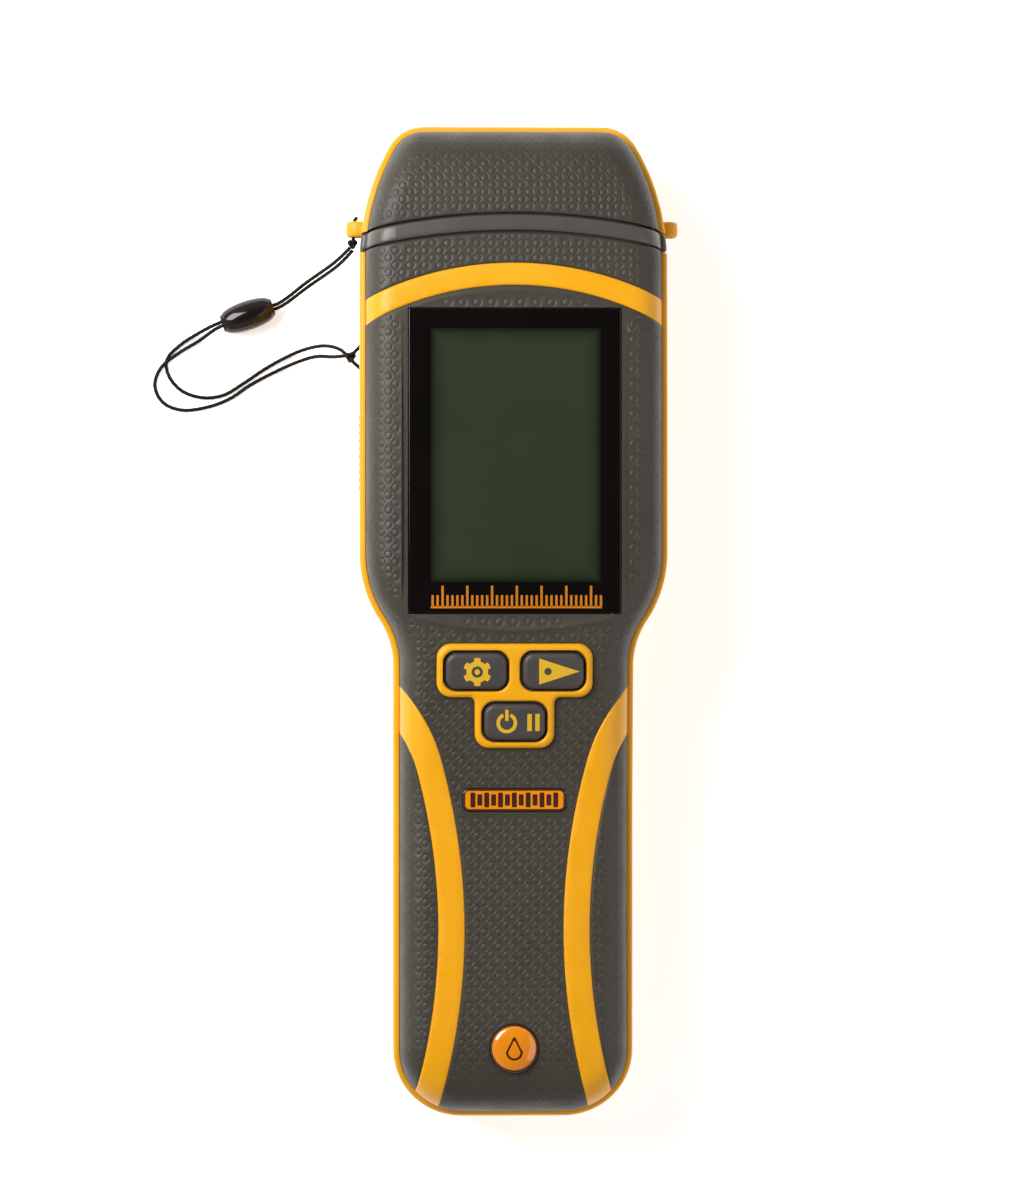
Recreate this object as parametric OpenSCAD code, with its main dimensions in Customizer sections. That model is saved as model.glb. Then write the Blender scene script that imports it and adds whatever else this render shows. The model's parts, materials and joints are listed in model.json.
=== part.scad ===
// Hand-held pin moisture meter with a protective cap and a lanyard, lying on its back.
// Origin: middle of the footprint on the rear face. +Z out of the display, +Y towards the cap.

/* [Case outline] */
// Overall length from the handle's end to the cap's end
length = 203; // [195:1:212]
// Half width of the head
head_x = 31.4; // [30.5:0.1:33]
// Half width of the handle
handle_x = 24.5; // [23.5:0.1:25.5]
// Radius of the cap's end corners
cap_corner_r = 8; // [7:0.1:9]
// Radius of the cap's curved sides
cap_side_r = 51; // [48:0.5:54]
// Radius of the handle's end corners
heel_r = 14; // [12:0.5:16]

/* [Case depth] */
// Depth of the handle
handle_z = 36; // [35.5:0.1:36.5]
// Extra depth of the head over the handle
head_rise = 5; // [4.8:0.1:5.2]
// Height of the joint between the two case halves
split_z = 17; // [17:0.5:18]
// Thickness of the rubber grip
grip_t = 1.4; // [1.2:0.1:1.5]
// Thickness of the case walls
wall = 2.6; // [2.4:0.1:2.8]

/* [Cap and collar] */
// Radius of the two arc-shaped seams
seam_r = 135; // [120:5:150]
// Highest point of the seam between case and collar
case_seam_y = 79; // [78.5:0.1:79.5]
// Highest point of the seam between collar and cap
cap_seam_y = 82.6; // [82:0.1:83]
// Clearance between the nose and the cap
cap_gap = 0.35; // [0.2:0.05:0.4]
// Radius of the hole in each cap lug
lug_hole_r = 0.95; // [0.8:0.05:1.1]

/* [Display] */
// Half width of the display window
window_x = 21.5; // [20.5:0.1:22]
// Lower edge of the display window
window_y0 = 1.7; // [1.5:0.1:2.5]
// Upper edge of the display window
window_y1 = 63.4; // [62.5:0.1:63.8]

/* [Keys] */
// Width of a key
key_w = 12.4; // [11.8:0.1:12.5]
// Height of a key
key_h = 7.4; // [7:0.1:7.5]
// Travel of a key
key_travel = 0.8; // [0.5:0.1:1]

/* [Yellow bands] */
// Outer radius of the arc band over the display
brow_r = 65.6; // [65:0.1:66]
// Width of the arc band over the display
brow_w = 4.5; // [4:0.1:5]
// Radius of the long bands beside the handle's middle
flank_r = 126; // [124:1:128]
// Width of the long bands beside the handle's middle
flank_w = 5.4; // [5:0.1:5.8]

/* [Electrodes] */
// Distance between the two electrode pins
pin_pitch = 25.4; // [24:0.2:26]
// Radius of an electrode pin's needle
needle_r = 1.0; // [0.8:0.05:1.1]

/* [Lanyard] */
// Diameter of the lanyard cord
cord_d = 0.75; // [0.6:0.05:0.8]
// Length of the bead on the lanyard
bead_len = 11.3; // [10:0.1:12]
// Radius of the bead on the lanyard
bead_r = 3.1; // [3:0.05:3.1]

/* [Hidden] */
$fn = 48;

grip_col = "#4a4640";
collar_col = "#5c5650";
yellow_col = "#f2aa14";
black_col = "#141414";
steel_col = "#b9bcc0";
brass_col = "#c9a24a";
board_col = "#1f5a36";
lcd_col = "#3f4a36";
orange_col = "#e8870c";

end_y = length / 2;
// Corner and side centres of the cap's plan
cap_side_y = 73;
cap_side_x = head_x - cap_side_r;
cap_corner_y = end_y - cap_corner_r;
cap_corner_x = cap_side_x + sqrt(pow(cap_side_r - cap_corner_r, 2) - pow(cap_corner_y - cap_side_y, 2));
cap_join_a = atan2(cap_corner_y - cap_side_y, cap_corner_x - cap_side_x);
// The waist is a convex arc and a concave arc that touch
waist_y = 14;
shoulder_r = 25;
hollow_r = 17;
waist_a = acos(1 - (head_x - handle_x) / (shoulder_r + hollow_r));
waist_end_y = waist_y - (shoulder_r + hollow_r) * sin(waist_a);
heel_y = heel_r - end_y;

pin_x = pin_pitch / 2;
pin_z = 18;
nose_y0 = 73.2;
nose_y1 = 88;
nut_h = 2.6;
pin_tip_y = 96.6;

keypad_y = -15;
keypad_tilt = 7;
keypad_z = crown(keypad_y);
key_row = 5.2;
key_col = 7.8;
key_gap = 0.28;
key_top = 1.35;
key_floor = -4.2;
board_z = 28.4;
board_t = 1.6;
board_top = board_z + board_t;
dome_h = 0.7;

window_top = 40.2;
plateau_z = 40.1;
window_t = 1.6;
lcd_top = 36.8;

bay_x = 15.6;
bay_y0 = -93.4;
bay_y1 = -38.6;
bay_top = 18.2;
cell_r = 7.1;
cell_x = 7.5;
cell_z = 9.9;
cell_y0 = -91.2;
cell_len = 50.5;
door_x = 17.4;
door_y1 = -36;
door_t = 1.8;
door_gap = 0.25;
// The door's edges run in grooves of the rear shell
flange_x = 1;
flange_z0 = 0.7;
flange_z1 = 1.4;

pad_y0 = -2;
pad_y1 = 60;

jack_ys = [30.2, 38.6];
jack_z = 23.6;
jack_r = 1.8;
cover_y0 = 26.6;
cover_y1 = 42.8;
cover_z0 = 19;
cover_z1 = 28.2;
cover_t = 1.5;
hinge_y = 25.8;
hinge_x = -head_x + 0.95;

bar_x = -30.4;
bar_y = 54.8;
bar_r = 0.9;
bar_z0 = 8.6;
bar_z1 = 15.6;

screw_spots = [[26, 66], [-26, 66], [10, -96.4], [-10, -96.4]];
// Height of a screw head's outer face: the lower two sit above the battery door
function head_z(p) = p[1] > 0 ? 1 : 2.3;
board_spots = [[19.5, 68], [-19.5, 68], [13.5, -27.2], [-13.5, -27.2]];

lug_x = 31.6;
lug_z = 19;
lug_r = 2.5;
lug_hole_x = 32.6;

bead_mid = [-54.8, 63.9, 3.1];
bead_turn = 19;
bead_hole_r = 1.3;
bead_lip_r = 1.6;
strand_gap = 0.42;

// Point on a strand in the bead: s along the bead from its middle, o beside its axis
function strand(s, o) = bead_mid + [s * cos(bead_turn) - o * sin(bead_turn),
    s * sin(bead_turn) + o * cos(bead_turn), 0];
// The cord starts and ends under the cap's lug, and turns round the bar in the case's side
cord_route = [[-33.7, 76.5, 17.5], [-36.75, 74.2, 13.1], [-42.43, 70.6, 6.8],
    strand(7.4, strand_gap), strand(2.7, strand_gap), strand(-2, strand_gap), strand(-6.7, strand_gap),
    [-65.4, 60.1, 1.2], [-69, 57.8, 0.4], [-71.7, 54.9, 0.4],
    [-71.4, 51.4, 0.4], [-68.6, 48.2, 0.4], [-64.2, 46.8, 0.4], [-59.8, 47.4, 0.4],
    [-55.6, 49.9, 0.4], [-51.6, 52.6, 0.4], [-47.4, 55, 0.6], [-43, 56.8, 2.4],
    [-38.8, 57.4, 6.4], [-35.4, 56.4, 10.4], [-33, 54, 12.6], [-30.6, 52.3, 12.8],
    [-28.5, 54.8, 12.4], [-30.6, 57.3, 12], [-33, 55.5, 11.6], [-36.4, 55, 9],
    [-40.6, 55.2, 5], [-45, 54, 1.8], [-49.8, 51.9, 0.4], [-54.4, 49.4, 0.4],
    [-58.6, 46.6, 0.4], [-63.4, 44.8, 0.4], [-68.6, 44.2, 0.4], [-72.6, 45.8, 0.4],
    [-74.3, 49.4, 0.4], [-72.9, 53.2, 0.4], [-69.2, 56.2, 0.4], [-65, 58.7, 1],
    strand(-6.7, -strand_gap), strand(-2, -strand_gap), strand(2.7, -strand_gap), strand(7.4, -strand_gap),
    [-41.97, 69.8, 6.8], [-36.25, 73.4, 13.1], [-32.9, 75.9, 16.9]];

// Smooth step from 0 at a to 1 at b
function ease(a, b, v) = let (t = min(1, max(0, (v - a) / (b - a)))) t * t * (3 - 2 * t);
// Height of the front face's middle at a distance along the case
function crown(y) = handle_z + head_rise * ease(-44, 14, y)
    - 1.6 * pow(max(0, (y - 30) / 49), 2)
    - 4.5 * pow(max(0, (y - 84) / (end_y - 84)), 2)
    - 4 * pow(max(0, (-84 - y) / (end_y - 84)), 2);

function arc(cx, cy, r, a0, a1, n) =
    [for (i = [0:n]) let (a = a0 + (a1 - a0) * i / n) [cx + r * cos(a), cy + r * sin(a)]];
function run(x, y0, y1, n) = [for (i = [1:n]) [x, y0 + (y1 - y0) * i / (n + 1)]];
// Right half of the plan outline, moved inwards by d, from the cap's end to the handle's end
function half_plan(d) = concat(
    arc(cap_corner_x, cap_corner_y, cap_corner_r - d, 90, cap_join_a, 5),
    arc(cap_side_x, cap_side_y, cap_side_r - d, cap_join_a * 5 / 6, 0, 5),
    run(head_x - d, cap_side_y, waist_y, 2),
    arc(head_x - shoulder_r, waist_y, shoulder_r - d, 0, -waist_a, 5),
    arc(handle_x + hollow_r, waist_end_y, hollow_r + d, 180 - waist_a * 3 / 4, 180, 3),
    run(handle_x - d, waist_end_y, heel_y, 8),
    arc(handle_x - heel_r, heel_y, heel_r - d, 0, -90, 8));
function plan(d) = let (h = half_plan(d), n = len(h))
    concat(h, [for (i = [n - 1:-1:0]) [-h[i][0], h[i][1]]]);

// Columns are [inset, height, share of the crown]: each is one ring of the surface
grip_outside = [[1.3, -8, 1], [1.5, -5.6, 1], [2.2, -3.4, 1], [3.4, -1.6, 1], [4.9, -0.5, 1], [6.4, 0, 1]];
core_outside = [for (c = grip_outside)
    [min(c[0] + grip_t * (1 - ease(2, 6.4, c[0])), 6.5), c[1] - grip_t * ease(-8, -1, c[1]), 1]];
rear_outside = [[5.2, 0, 0], [3.2, 0.35, 0], [1.6, 1.3, 0], [0.5, 3, 0], [0, 5.4, 0]];
ledge = [[0, -9.1, 1], [0.3, -8.4, 1], [0.9, -8.1, 1], [1.3 + grip_t, -8.1, 1]];
// The core, carried on below the grip so that it cuts the grip's underside open
core_cut = concat([[1.3 + grip_t, -10, 1]], core_outside);

module loft(cols) {
    rows = len(half_plan(0));
    k_last = len(cols) - 1;
    points = [for (s = [1, -1]) for (c = cols) for (p = half_plan(c[0]))
        [s * p[0], p[1], c[1] + c[2] * crown(p[1])]];
    left = rows * len(cols);
    faces = concat(
        [for (k = [0:k_last - 1]) for (i = [0:rows - 2]) for (t = [0, 1])
            let (a = k * rows + i, b = a + 1, c = a + rows + 1, d = a + rows)
            t == 0 ? [a, b, c] : [a, c, d]],
        [for (k = [0:k_last - 1]) for (i = [0:rows - 2]) for (t = [0, 1])
            let (a = left + k * rows + i, b = a + 1, c = a + rows + 1, d = a + rows)
            t == 0 ? [a, c, b] : [a, d, c]],
        [for (i = [0:rows - 2]) for (t = [0, 1])
            let (a = k_last * rows + i, b = a + 1, c = left + b, d = left + a)
            t == 0 ? [a, b, c] : [a, c, d]],
        [for (i = [0:rows - 2]) for (t = [0, 1])
            let (a = i, b = a + 1, c = left + b, d = left + a)
            t == 0 ? [a, c, b] : [a, d, c]],
        [for (k = [0:k_last - 1]) for (t = [0, 1])
            let (a = k * rows, b = a + rows, c = left + b, d = left + a)
            t == 0 ? [a, b, c] : [a, c, d]],
        [for (k = [0:k_last - 1]) for (t = [0, 1])
            let (a = k * rows + rows - 1, b = a + rows, c = left + b, d = left + a)
            t == 0 ? [a, c, b] : [a, d, c]]);
    polyhedron(points, faces, convexity = 6);
}

module prism(d, z0, z1) {
    translate([0, 0, z0])
        linear_extrude(z1 - z0)
            polygon(plan(d));
}

module box(lo, hi) {
    translate(lo)
        cube(hi - lo);
}

// Everything below the arc seam whose highest point is at y
module below_seam(y) {
    translate([0, y - seam_r, -5])
        cylinder(r = seam_r, h = 60, $fn = 180);
}

module rod_y(x, z, y0, y1, r) {
    translate([x, y0, z])
        rotate([-90, 0, 0])
            cylinder(r = r, h = y1 - y0);
}

module rod_z(x, y, z0, z1, r) {
    translate([x, y, z0])
        cylinder(r = r, h = z1 - z0);
}

module rounded(w, h, r) {
    hull()
        for (x = [-1, 1], y = [-1, 1])
            translate([x * (w / 2 - r), y * (h / 2 - r)])
                circle(r, $fn = 24);
}

// Section of the nose, enlarged by g, running along Y
module nose(g, y0, y1) {
    translate([0, y1, 0])
        rotate([90, 0, 0])
            linear_extrude(y1 - y0)
                polygon([[-27 - g, 9 - g], [-23 - g, 5 - g], [23 + g, 5 - g], [27 + g, 9 - g],
                    [27 + g, 26.5], [21.5 + g, 33 + g], [-21.5 - g, 33 + g], [-27 - g, 26.5]]);
}

module ring2d(r, w) {
    difference() {
        circle(r, $fn = 120);
        circle(r - w, $fn = 120);
    }
}

// Plan shape of the yellow bands, which fill the grip's openings exactly
module bands() {
    translate([0, 0, 20])
        linear_extrude(30) {
            intersection() {
                translate([0, 7])
                    ring2d(brow_r, brow_w);
                translate([-40, 40])
                    square([80, 40]);
            }
            for (s = [-1, 1])
                intersection() {
                    translate([s * (10 + flank_r), -62.5])
                        ring2d(flank_r, flank_w);
                    translate([-30, -102])
                        square([60, 88]);
                }
        }
}

// Places its children in the tilted frame of the keypad
module on_keypad() {
    translate([0, keypad_y, keypad_z])
        rotate([keypad_tilt, 0, 0])
            children();
}

module surround2d(g) {
    union() {
        translate([0, key_row])
            rounded(31.6 + 2 * g, 11 + 2 * g, 3);
        translate([0, -4.4])
            rounded(16.2 + 2 * g, 12.6 + 2 * g, 3);
    }
}

module key_holes2d(g) {
    for (p = [[-key_col, key_row], [key_col, key_row], [0, -key_row]])
        translate(p)
            square([key_w + 2 * g, key_h + 2 * g], center = true);
}

// The battery door's space, enlarged by g
module door_space(g) {
    box([-door_x - g, -110, -1], [door_x + g, door_y1 + g, door_t + g]);
    box([-door_x - flange_x - g, -110, flange_z0 - g],
        [door_x + flange_x + g, door_y1 + g, flange_z1 + g]);
}

module rear_shell() {
    color(yellow_col)
        difference() {
            intersection() {
                union() {
                    difference() {
                        loft(concat(rear_outside, [[0, split_z, 0]]));
                        prism(wall, 2.4, split_z + 1);
                    }
                    intersection() {
                        box([-head_x, 49.4, 2], [-25.4, 60.2, split_z]);
                        prism(1, 1, split_z);
                    }
                    box([-bay_x - 1.4, bay_y0 - 1.4, 2.2], [bay_x + 1.4, bay_y1 + 1.4, bay_top + 1.4]);
                    for (p = screw_spots)
                        rod_z(p[0], p[1], 2, split_z - 0.2, 3.2);
                }
                below_seam(case_seam_y - 0.1);
            }
            nose(0.15, 72.8, 90);
            box([-bay_x, bay_y0, -1], [bay_x, bay_y1, bay_top]);
            door_space(door_gap);
            difference() {
                prism(1, split_z - 0.4, split_z + 1);
                prism(1.8, split_z - 1, split_z + 1);
            }
            intersection() {
                prism(5.6, -1, 1.2);
                box([-40, pad_y0, -2], [40, pad_y1, 2]);
            }
            box([-40, 50.8, bar_z0], [-26.6, 58.8, bar_z1]);
            rod_z(bar_x, bar_y, bar_z0 - 0.8, bar_z1 + 0.8, bar_r);
            for (p = screw_spots) {
                rod_z(p[0], p[1], -1, head_z(p) + 2.05, 2.4);
                rod_z(p[0], p[1], 2, split_z + 1, 1.5);
                rod_z(p[0], p[1], split_z - 0.1, bay_top + 2, 2.9);
            }
        }
}

module rear_grip() {
    color(grip_col)
        intersection() {
            prism(5.7, 0, 1.15);
            box([-40, pad_y0 + 0.1, -1], [40, pad_y1 - 0.1, 2]);
        }
}

module front_shell() {
    color(yellow_col)
        difference() {
            intersection() {
                union() {
                    difference() {
                        loft(concat([[0, split_z, 0]], ledge, core_outside));
                        prism(wall, split_z - 1, 26.5);
                        intersection() {
                            prism(wall, 26, 31.5);
                            box([-40, 2, 20], [40, 72.8, 40]);
                        }
                        intersection() {
                            prism(6.4, 26, 37.2);
                            box([-40, 3.3, 20], [40, 72.8, 40]);
                        }
                        intersection() {
                            prism(6.4, 26, 31.8);
                            box([-40, -84, 20], [40, 5, 40]);
                        }
                    }
                    intersection() {
                        loft(grip_outside);
                        bands();
                        prism(1.4, 32, 60);
                    }
                    for (p = screw_spots)
                        rod_z(p[0], p[1], split_z + 0.2, p[1] > 0 ? 32 : 24.8, 2.6);
                    for (p = board_spots)
                        rod_z(p[0], p[1], board_top + 0.02, p[1] > 0 ? 38 : 32.5, 2.2);
                }
                below_seam(case_seam_y - 0.1);
            }
            nose(0.15, 72.8, 90);
            box([-window_x - 0.15, window_y0 - 0.15, window_top - window_t - 0.3],
                [window_x + 0.15, window_y1 + 0.15, 50]);
            box([-18.2, 6.8, 30], [18.2, 60.6, 50]);
            on_keypad() {
                translate([0, 0, -3.4])
                    linear_extrude(10)
                        surround2d(0.1);
                translate([0, 0, -12])
                    linear_extrude(20)
                        key_holes2d(0.4);
            }
            difference() {
                prism(1, split_z - 1, split_z + 0.4);
                prism(1.8, split_z - 2, split_z + 1);
            }
            box([-40, cover_y0 - 2, cover_z0 - 0.3],
                [-head_x + cover_t + 0.7, cover_y1 + 0.3, cover_z1 + 0.3]);
            rod_z(hinge_x, hinge_y, cover_z0 - 1, cover_z1 + 1, 0.4);
            for (y = jack_ys)
                translate([-40, y, jack_z])
                    rotate([0, 90, 0])
                        cylinder(r = 3.1, h = 20);
            for (p = screw_spots)
                rod_z(p[0], p[1], split_z - 1, 24, 1.3);
            for (p = board_spots)
                rod_z(p[0], p[1], board_top - 1, board_top + 2, 0.9);
            translate([0, -36.1, crown(-36.1) - 1.2])
                linear_extrude(5)
                    rounded(21, 4.8, 1.3);
            rod_z(0, -86.5, crown(-86.5) - 2, 50, 5.05);
        }
}

module front_grip() {
    color(grip_col)
        difference() {
            intersection() {
                difference() {
                    loft(grip_outside);
                    loft(core_cut);
                }
                below_seam(case_seam_y - 0.1);
            }
            bands();
            box([-window_x - 0.15, window_y0 - 0.15, 30], [window_x + 0.15, window_y1 + 0.15, 50]);
            box([-window_x - 1.3, -2, plateau_z], [window_x + 1.3, 67, 50]);
            on_keypad()
                translate([0, 0, -6])
                    linear_extrude(12)
                        surround2d(0.1);
            translate([0, -36.1, 30])
                linear_extrude(12)
                    rounded(21, 4.8, 1.3);
            rod_z(0, -86.5, 25, 50, 5.05);
        }
}

module case_gasket() {
    color(black_col)
        intersection() {
            difference() {
                prism(1.05, split_z - 0.4, split_z + 0.4);
                prism(1.75, split_z - 1, split_z + 1);
            }
            below_seam(case_seam_y - 0.5);
            difference() {
                box([-40, -110, 0], [40, 90, 40]);
                nose(0.15, 72.8, 90);
            }
        }
}

module neck_collar() {
    color(collar_col)
        difference() {
            intersection() {
                loft(concat(rear_outside, [[0, -9, 1], [0.5, -6.4, 1]],
                    [for (c = grip_outside) if (c[0] > 1.4) c]));
                below_seam(cap_seam_y - 0.15);
            }
            below_seam(case_seam_y + 0.1);
            nose(0.05, 60, 90);
        }
}

module nose_block() {
    color(black_col)
        difference() {
            nose(0, nose_y0, nose_y1);
            difference() {
                nose(1, 84, 85.4);
                nose(-1, 83, 86);
            }
            for (s = [-1, 1]) {
                rod_y(s * pin_x, pin_z, nose_y0 - 1, nose_y1 + 1, 1.5);
                box([s * 20 - 4.5, 70, 8], [s * 20 + 4.5, 82, 14]);
            }
        }
}

module nose_seal() {
    color("#2b2b2b")
        difference() {
            nose(0.12, 84.1, 85.3);
            nose(-1, 83, 86);
        }
}

module electrode_pin(s) {
    color(steel_col)
        translate([s * pin_x, 0, pin_z])
            rotate([-90, 0, 0])
                rotate_extrude($fn = 36)
                    polygon([[0, nose_y0 - 0.4], [1.45, nose_y0 - 0.4], [1.45, nose_y1 - 0.2],
                        [needle_r, nose_y1], [needle_r, 93], [0.55, 95.2], [0, pin_tip_y]]);
}

module electrode_pin_left() {
    electrode_pin(-1);
}

module electrode_pin_right() {
    electrode_pin(1);
}

module pin_nuts() {
    color(brass_col)
        for (s = [-1, 1])
            translate([s * pin_x, nose_y1 + 0.05, pin_z])
                rotate([-90, 0, 0])
                    difference() {
                        cylinder(r = 3.2, h = nut_h, $fn = 6);
                        translate([0, 0, -1])
                            cylinder(r = needle_r + 0.1, h = nut_h + 2);
                    }
}

module pin_contacts() {
    color(brass_col)
        for (s = [-1, 1])
            box([s * pin_x - 1.5, 71.6, pin_z - 2], [s * pin_x + 1.5, 72.2, board_z + 2.4]);
}

module cap_shell() {
    color(yellow_col)
        difference() {
            union() {
                loft(concat(rear_outside, ledge, core_outside));
                for (s = [-1, 1])
                    rod_y(s * lug_x, lug_z, 77, 82.2, lug_r);
            }
            below_seam(cap_seam_y + 0.15);
            nose(cap_gap, 70, nose_y1 + 0.4);
            box([-23.5, 80, 8], [23.5, 97.4, 28]);
            for (s = [-1, 1])
                rod_y(s * lug_hole_x, lug_z, 70, 90, lug_hole_r);
        }
}

module cap_grip() {
    color(grip_col)
        difference() {
            loft(grip_outside);
            loft(core_cut);
            below_seam(cap_seam_y + 0.15);
        }
}

module display_window() {
    color(black_col)
        box([-window_x, window_y0, window_top - window_t], [window_x, window_y1, window_top]);
}

module window_gasket() {
    color("#202020")
        difference() {
            box([-window_x, window_y0, window_top - window_t - 0.3],
                [window_x, window_y1, window_top - window_t]);
            box([-18.4, 6.6, 30], [18.4, 60.8, 50]);
        }
}

module lcd_frame() {
    color("#e8e6df")
        difference() {
            box([-21.5, 3.6, board_top], [21.5, 63.8, lcd_top + 0.1]);
            box([-20.2, 5.4, board_top - 1], [20.2, 62.2, lcd_top + 1]);
        }
}

module lcd_glass() {
    color(lcd_col)
        box([-20, 5.6, lcd_top - 2.2], [20, 62, lcd_top]);
}

module backlight_panel() {
    color("#f4f2ea")
        difference() {
            box([-19.6, 9, lcd_top - 4.2], [19.6, 59, lcd_top - 2.3]);
            box([-17.6, 11, lcd_top - 4.3], [17.6, 57, lcd_top - 3.9]);
        }
}

module zebra_strips() {
    color("#5a5a5a")
        for (y = [6.2, 59.8])
            box([-18, y, board_top], [18, y + 1.8, lcd_top - 2.2]);
}

module main_board() {
    color(board_col)
        difference() {
            union() {
                box([-23.1, 2.4, board_z], [23.1, 70.6, board_top]);
                box([-16.4, -30, board_z], [16.4, 2.5, board_top]);
            }
            for (p = board_spots)
                rod_z(p[0], p[1], board_z - 1, board_top + 1, 1.1);
            for (s = [-1, 1])
                box([s * pin_x - 1.7, 71, board_z - 1], [s * pin_x + 1.7, 72.6, board_top + 1]);
        }
}

module board_chips() {
    color("#26282a")
        for (c = [[-9, 46, 9, 9, 1.4], [8, 50, 7, 5, 1.2], [-14, 24, 5, 4, 1], [2, 30, 4, 4, 1],
                [-4, 12, 6, 3, 1.6], [10, 16, 3, 3, 1.2]])
            translate([c[0], c[1], board_z - c[4] / 2])
                cube([c[2], c[3], c[4]], center = true);
}

module board_screws() {
    color(steel_col)
        for (p = board_spots) {
            rod_z(p[0], p[1], board_z - 1.3, board_z, 1.9);
            rod_z(p[0], p[1], board_z - 0.1, board_top + 1.8, 0.88);
        }
}

module buzzer() {
    color(black_col)
        difference() {
            rod_z(14, 36, board_z - 7, board_z, 6);
            rod_z(14, 36, board_z - 8, board_z - 5, 1.2);
        }
}

module dome_switches() {
    color(steel_col)
        for (p = [[-key_col, key_row], [key_col, key_row], [0, -key_row]])
            translate([p[0], keypad_y + p[1], board_top])
                difference() {
                    cylinder(r1 = 4, r2 = 2.6, h = dome_h);
                    translate([0, 0, -0.1])
                        cylinder(r = 2.2, h = 0.4);
                }
}

module keypad_surround() {
    color(yellow_col)
        on_keypad()
            difference() {
                union() {
                    translate([0, 0, -3.4])
                        linear_extrude(4)
                            surround2d(0);
                    translate([0, 0, 0.6])
                        linear_extrude(0.4)
                            surround2d(-0.5);
                }
                translate([0, 0, -4])
                    linear_extrude(6)
                        key_holes2d(key_gap);
            }
}

// One key with its foot, which stops a travel and a little more above its dome
module key_body(x, y) {
    foot = board_top + dome_h + key_travel + 0.3;
    reach = (keypad_z + y * sin(keypad_tilt) - foot) / cos(keypad_tilt) - 0.2;
    color(grip_col)
        on_keypad()
            translate([x, y, 0]) {
                translate([0, 0, key_floor])
                    linear_extrude(key_top - 0.4 - key_floor)
                        rounded(key_w, key_h, 1.8);
                translate([0, 0, key_top - 0.4])
                    linear_extrude(0.4)
                        rounded(key_w - 1, key_h - 1, 1.5);
                translate([0, 0, -reach])
                    cylinder(r = 1.6, h = reach + key_floor + 0.5);
            }
}

module key_settings() {
    key_body(-key_col, key_row);
}

module key_reference() {
    key_body(key_col, key_row);
}

module key_power() {
    key_body(0, -key_row);
}

module badge_plate() {
    color(orange_col)
        translate([0, -36.1, crown(-36.1) - 1.2])
            linear_extrude(1.5)
                rounded(20.8, 4.6, 1.2);
}

module roundel_bezel() {
    color("#3a2412")
        difference() {
            rod_z(0, -86.5, crown(-86.5) - 2, crown(-86.5) + 0.3, 4.95);
            rod_z(0, -86.5, crown(-86.5) - 1.2, crown(-86.5) + 1, 4.4);
        }
}

module roundel_dome() {
    color(orange_col)
        translate([0, -86.5, crown(-86.5) - 1.2])
            rotate_extrude($fn = 48)
                polygon([[0, 0], [4.35, 0], [4.35, 1.2], [3.6, 1.7], [2, 2.05], [0, 2.15]]);
}

module battery_cell(s) {
    color("#3d4a57")
        translate([s * cell_x, cell_y0, cell_z])
            rotate([-90, 0, 0]) {
                translate([0, 0, s > 0 ? 0 : 1.2])
                    cylinder(r = cell_r, h = cell_len - 1.2);
                translate([0, 0, s > 0 ? cell_len - 1.3 : 0])
                    cylinder(r = 2.7, h = 1.3);
            }
}

module battery_cell_left() {
    battery_cell(-1);
}

module battery_cell_right() {
    battery_cell(1);
}

module battery_springs() {
    color(steel_col)
        for (s = [-1, 1])
            translate([s * cell_x, 0, cell_z])
                rotate([-90, 0, 0])
                    for (i = [0:2])
                        translate([0, 0, bay_y0 + 0.4 + i * 0.65])
                            rotate_extrude($fn = 32)
                                translate([4.2 - i * 0.7, 0])
                                    circle(0.32, $fn = 16);
}

module battery_plates() {
    color(steel_col)
        for (s = [-1, 1])
            box([s * cell_x - 5, cell_y0 + cell_len + 0.1, cell_z - 6],
                [s * cell_x + 5, cell_y0 + cell_len + 0.6, cell_z + 6]);
}

module battery_door() {
    color(yellow_col)
        difference() {
            intersection() {
                loft(concat(rear_outside, [[0, split_z, 0]]));
                door_space(0);
            }
            for (i = [0:4])
                box([-7, door_y1 - 6 - i * 2.4, -1], [7, door_y1 - 4.8 - i * 2.4, 0.5]);
        }
}

module probe_jacks() {
    for (y = jack_ys)
        translate([-head_x + wall, y, jack_z]) {
            color(black_col)
                difference() {
                    union() {
                        box([0.1, -3.6, -3.4], [12, 3.6, 3.4]);
                        translate([-0.6, 0, 0])
                            rotate([0, 90, 0])
                                cylinder(r = 3, h = 2);
                    }
                    translate([-2, 0, 0])
                        rotate([0, 90, 0])
                            cylinder(r = jack_r, h = 12);
                }
        }
}

module socket_cover() {
    color(yellow_col)
        difference() {
            union() {
                box([-head_x, hinge_y, cover_z0], [-head_x + cover_t, cover_y1, cover_z1]);
                rod_z(hinge_x, hinge_y, cover_z0, cover_z1, 0.95);
                for (i = [0:9])
                    box([-head_x - 0.3, cover_y0 + 0.4 + i * 1.6, cover_z0 + 1],
                        [-head_x + 0.5, cover_y0 + 1.2 + i * 1.6, cover_z1 - 1]);
            }
            rod_z(hinge_x, hinge_y, cover_z0 - 1, cover_z1 + 1, 0.45);
        }
}

module cover_pin() {
    color(steel_col)
        rod_z(hinge_x, hinge_y, cover_z0 - 0.95, cover_z1 + 0.95, 0.4);
}

module lanyard_bar() {
    color(steel_col)
        rod_z(bar_x, bar_y, bar_z0 - 0.75, bar_z1 + 0.75, bar_r);
}

module case_screws() {
    color(steel_col)
        for (p = screw_spots)
            difference() {
                union() {
                    rod_z(p[0], p[1], head_z(p), head_z(p) + 2, 2.2);
                    rod_z(p[0], p[1], head_z(p) + 1.9, 23.6, 1.25);
                }
                translate([p[0], p[1], head_z(p) - 1])
                    cylinder(r = 1.1, h = 2, $fn = 6);
            }
}

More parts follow.
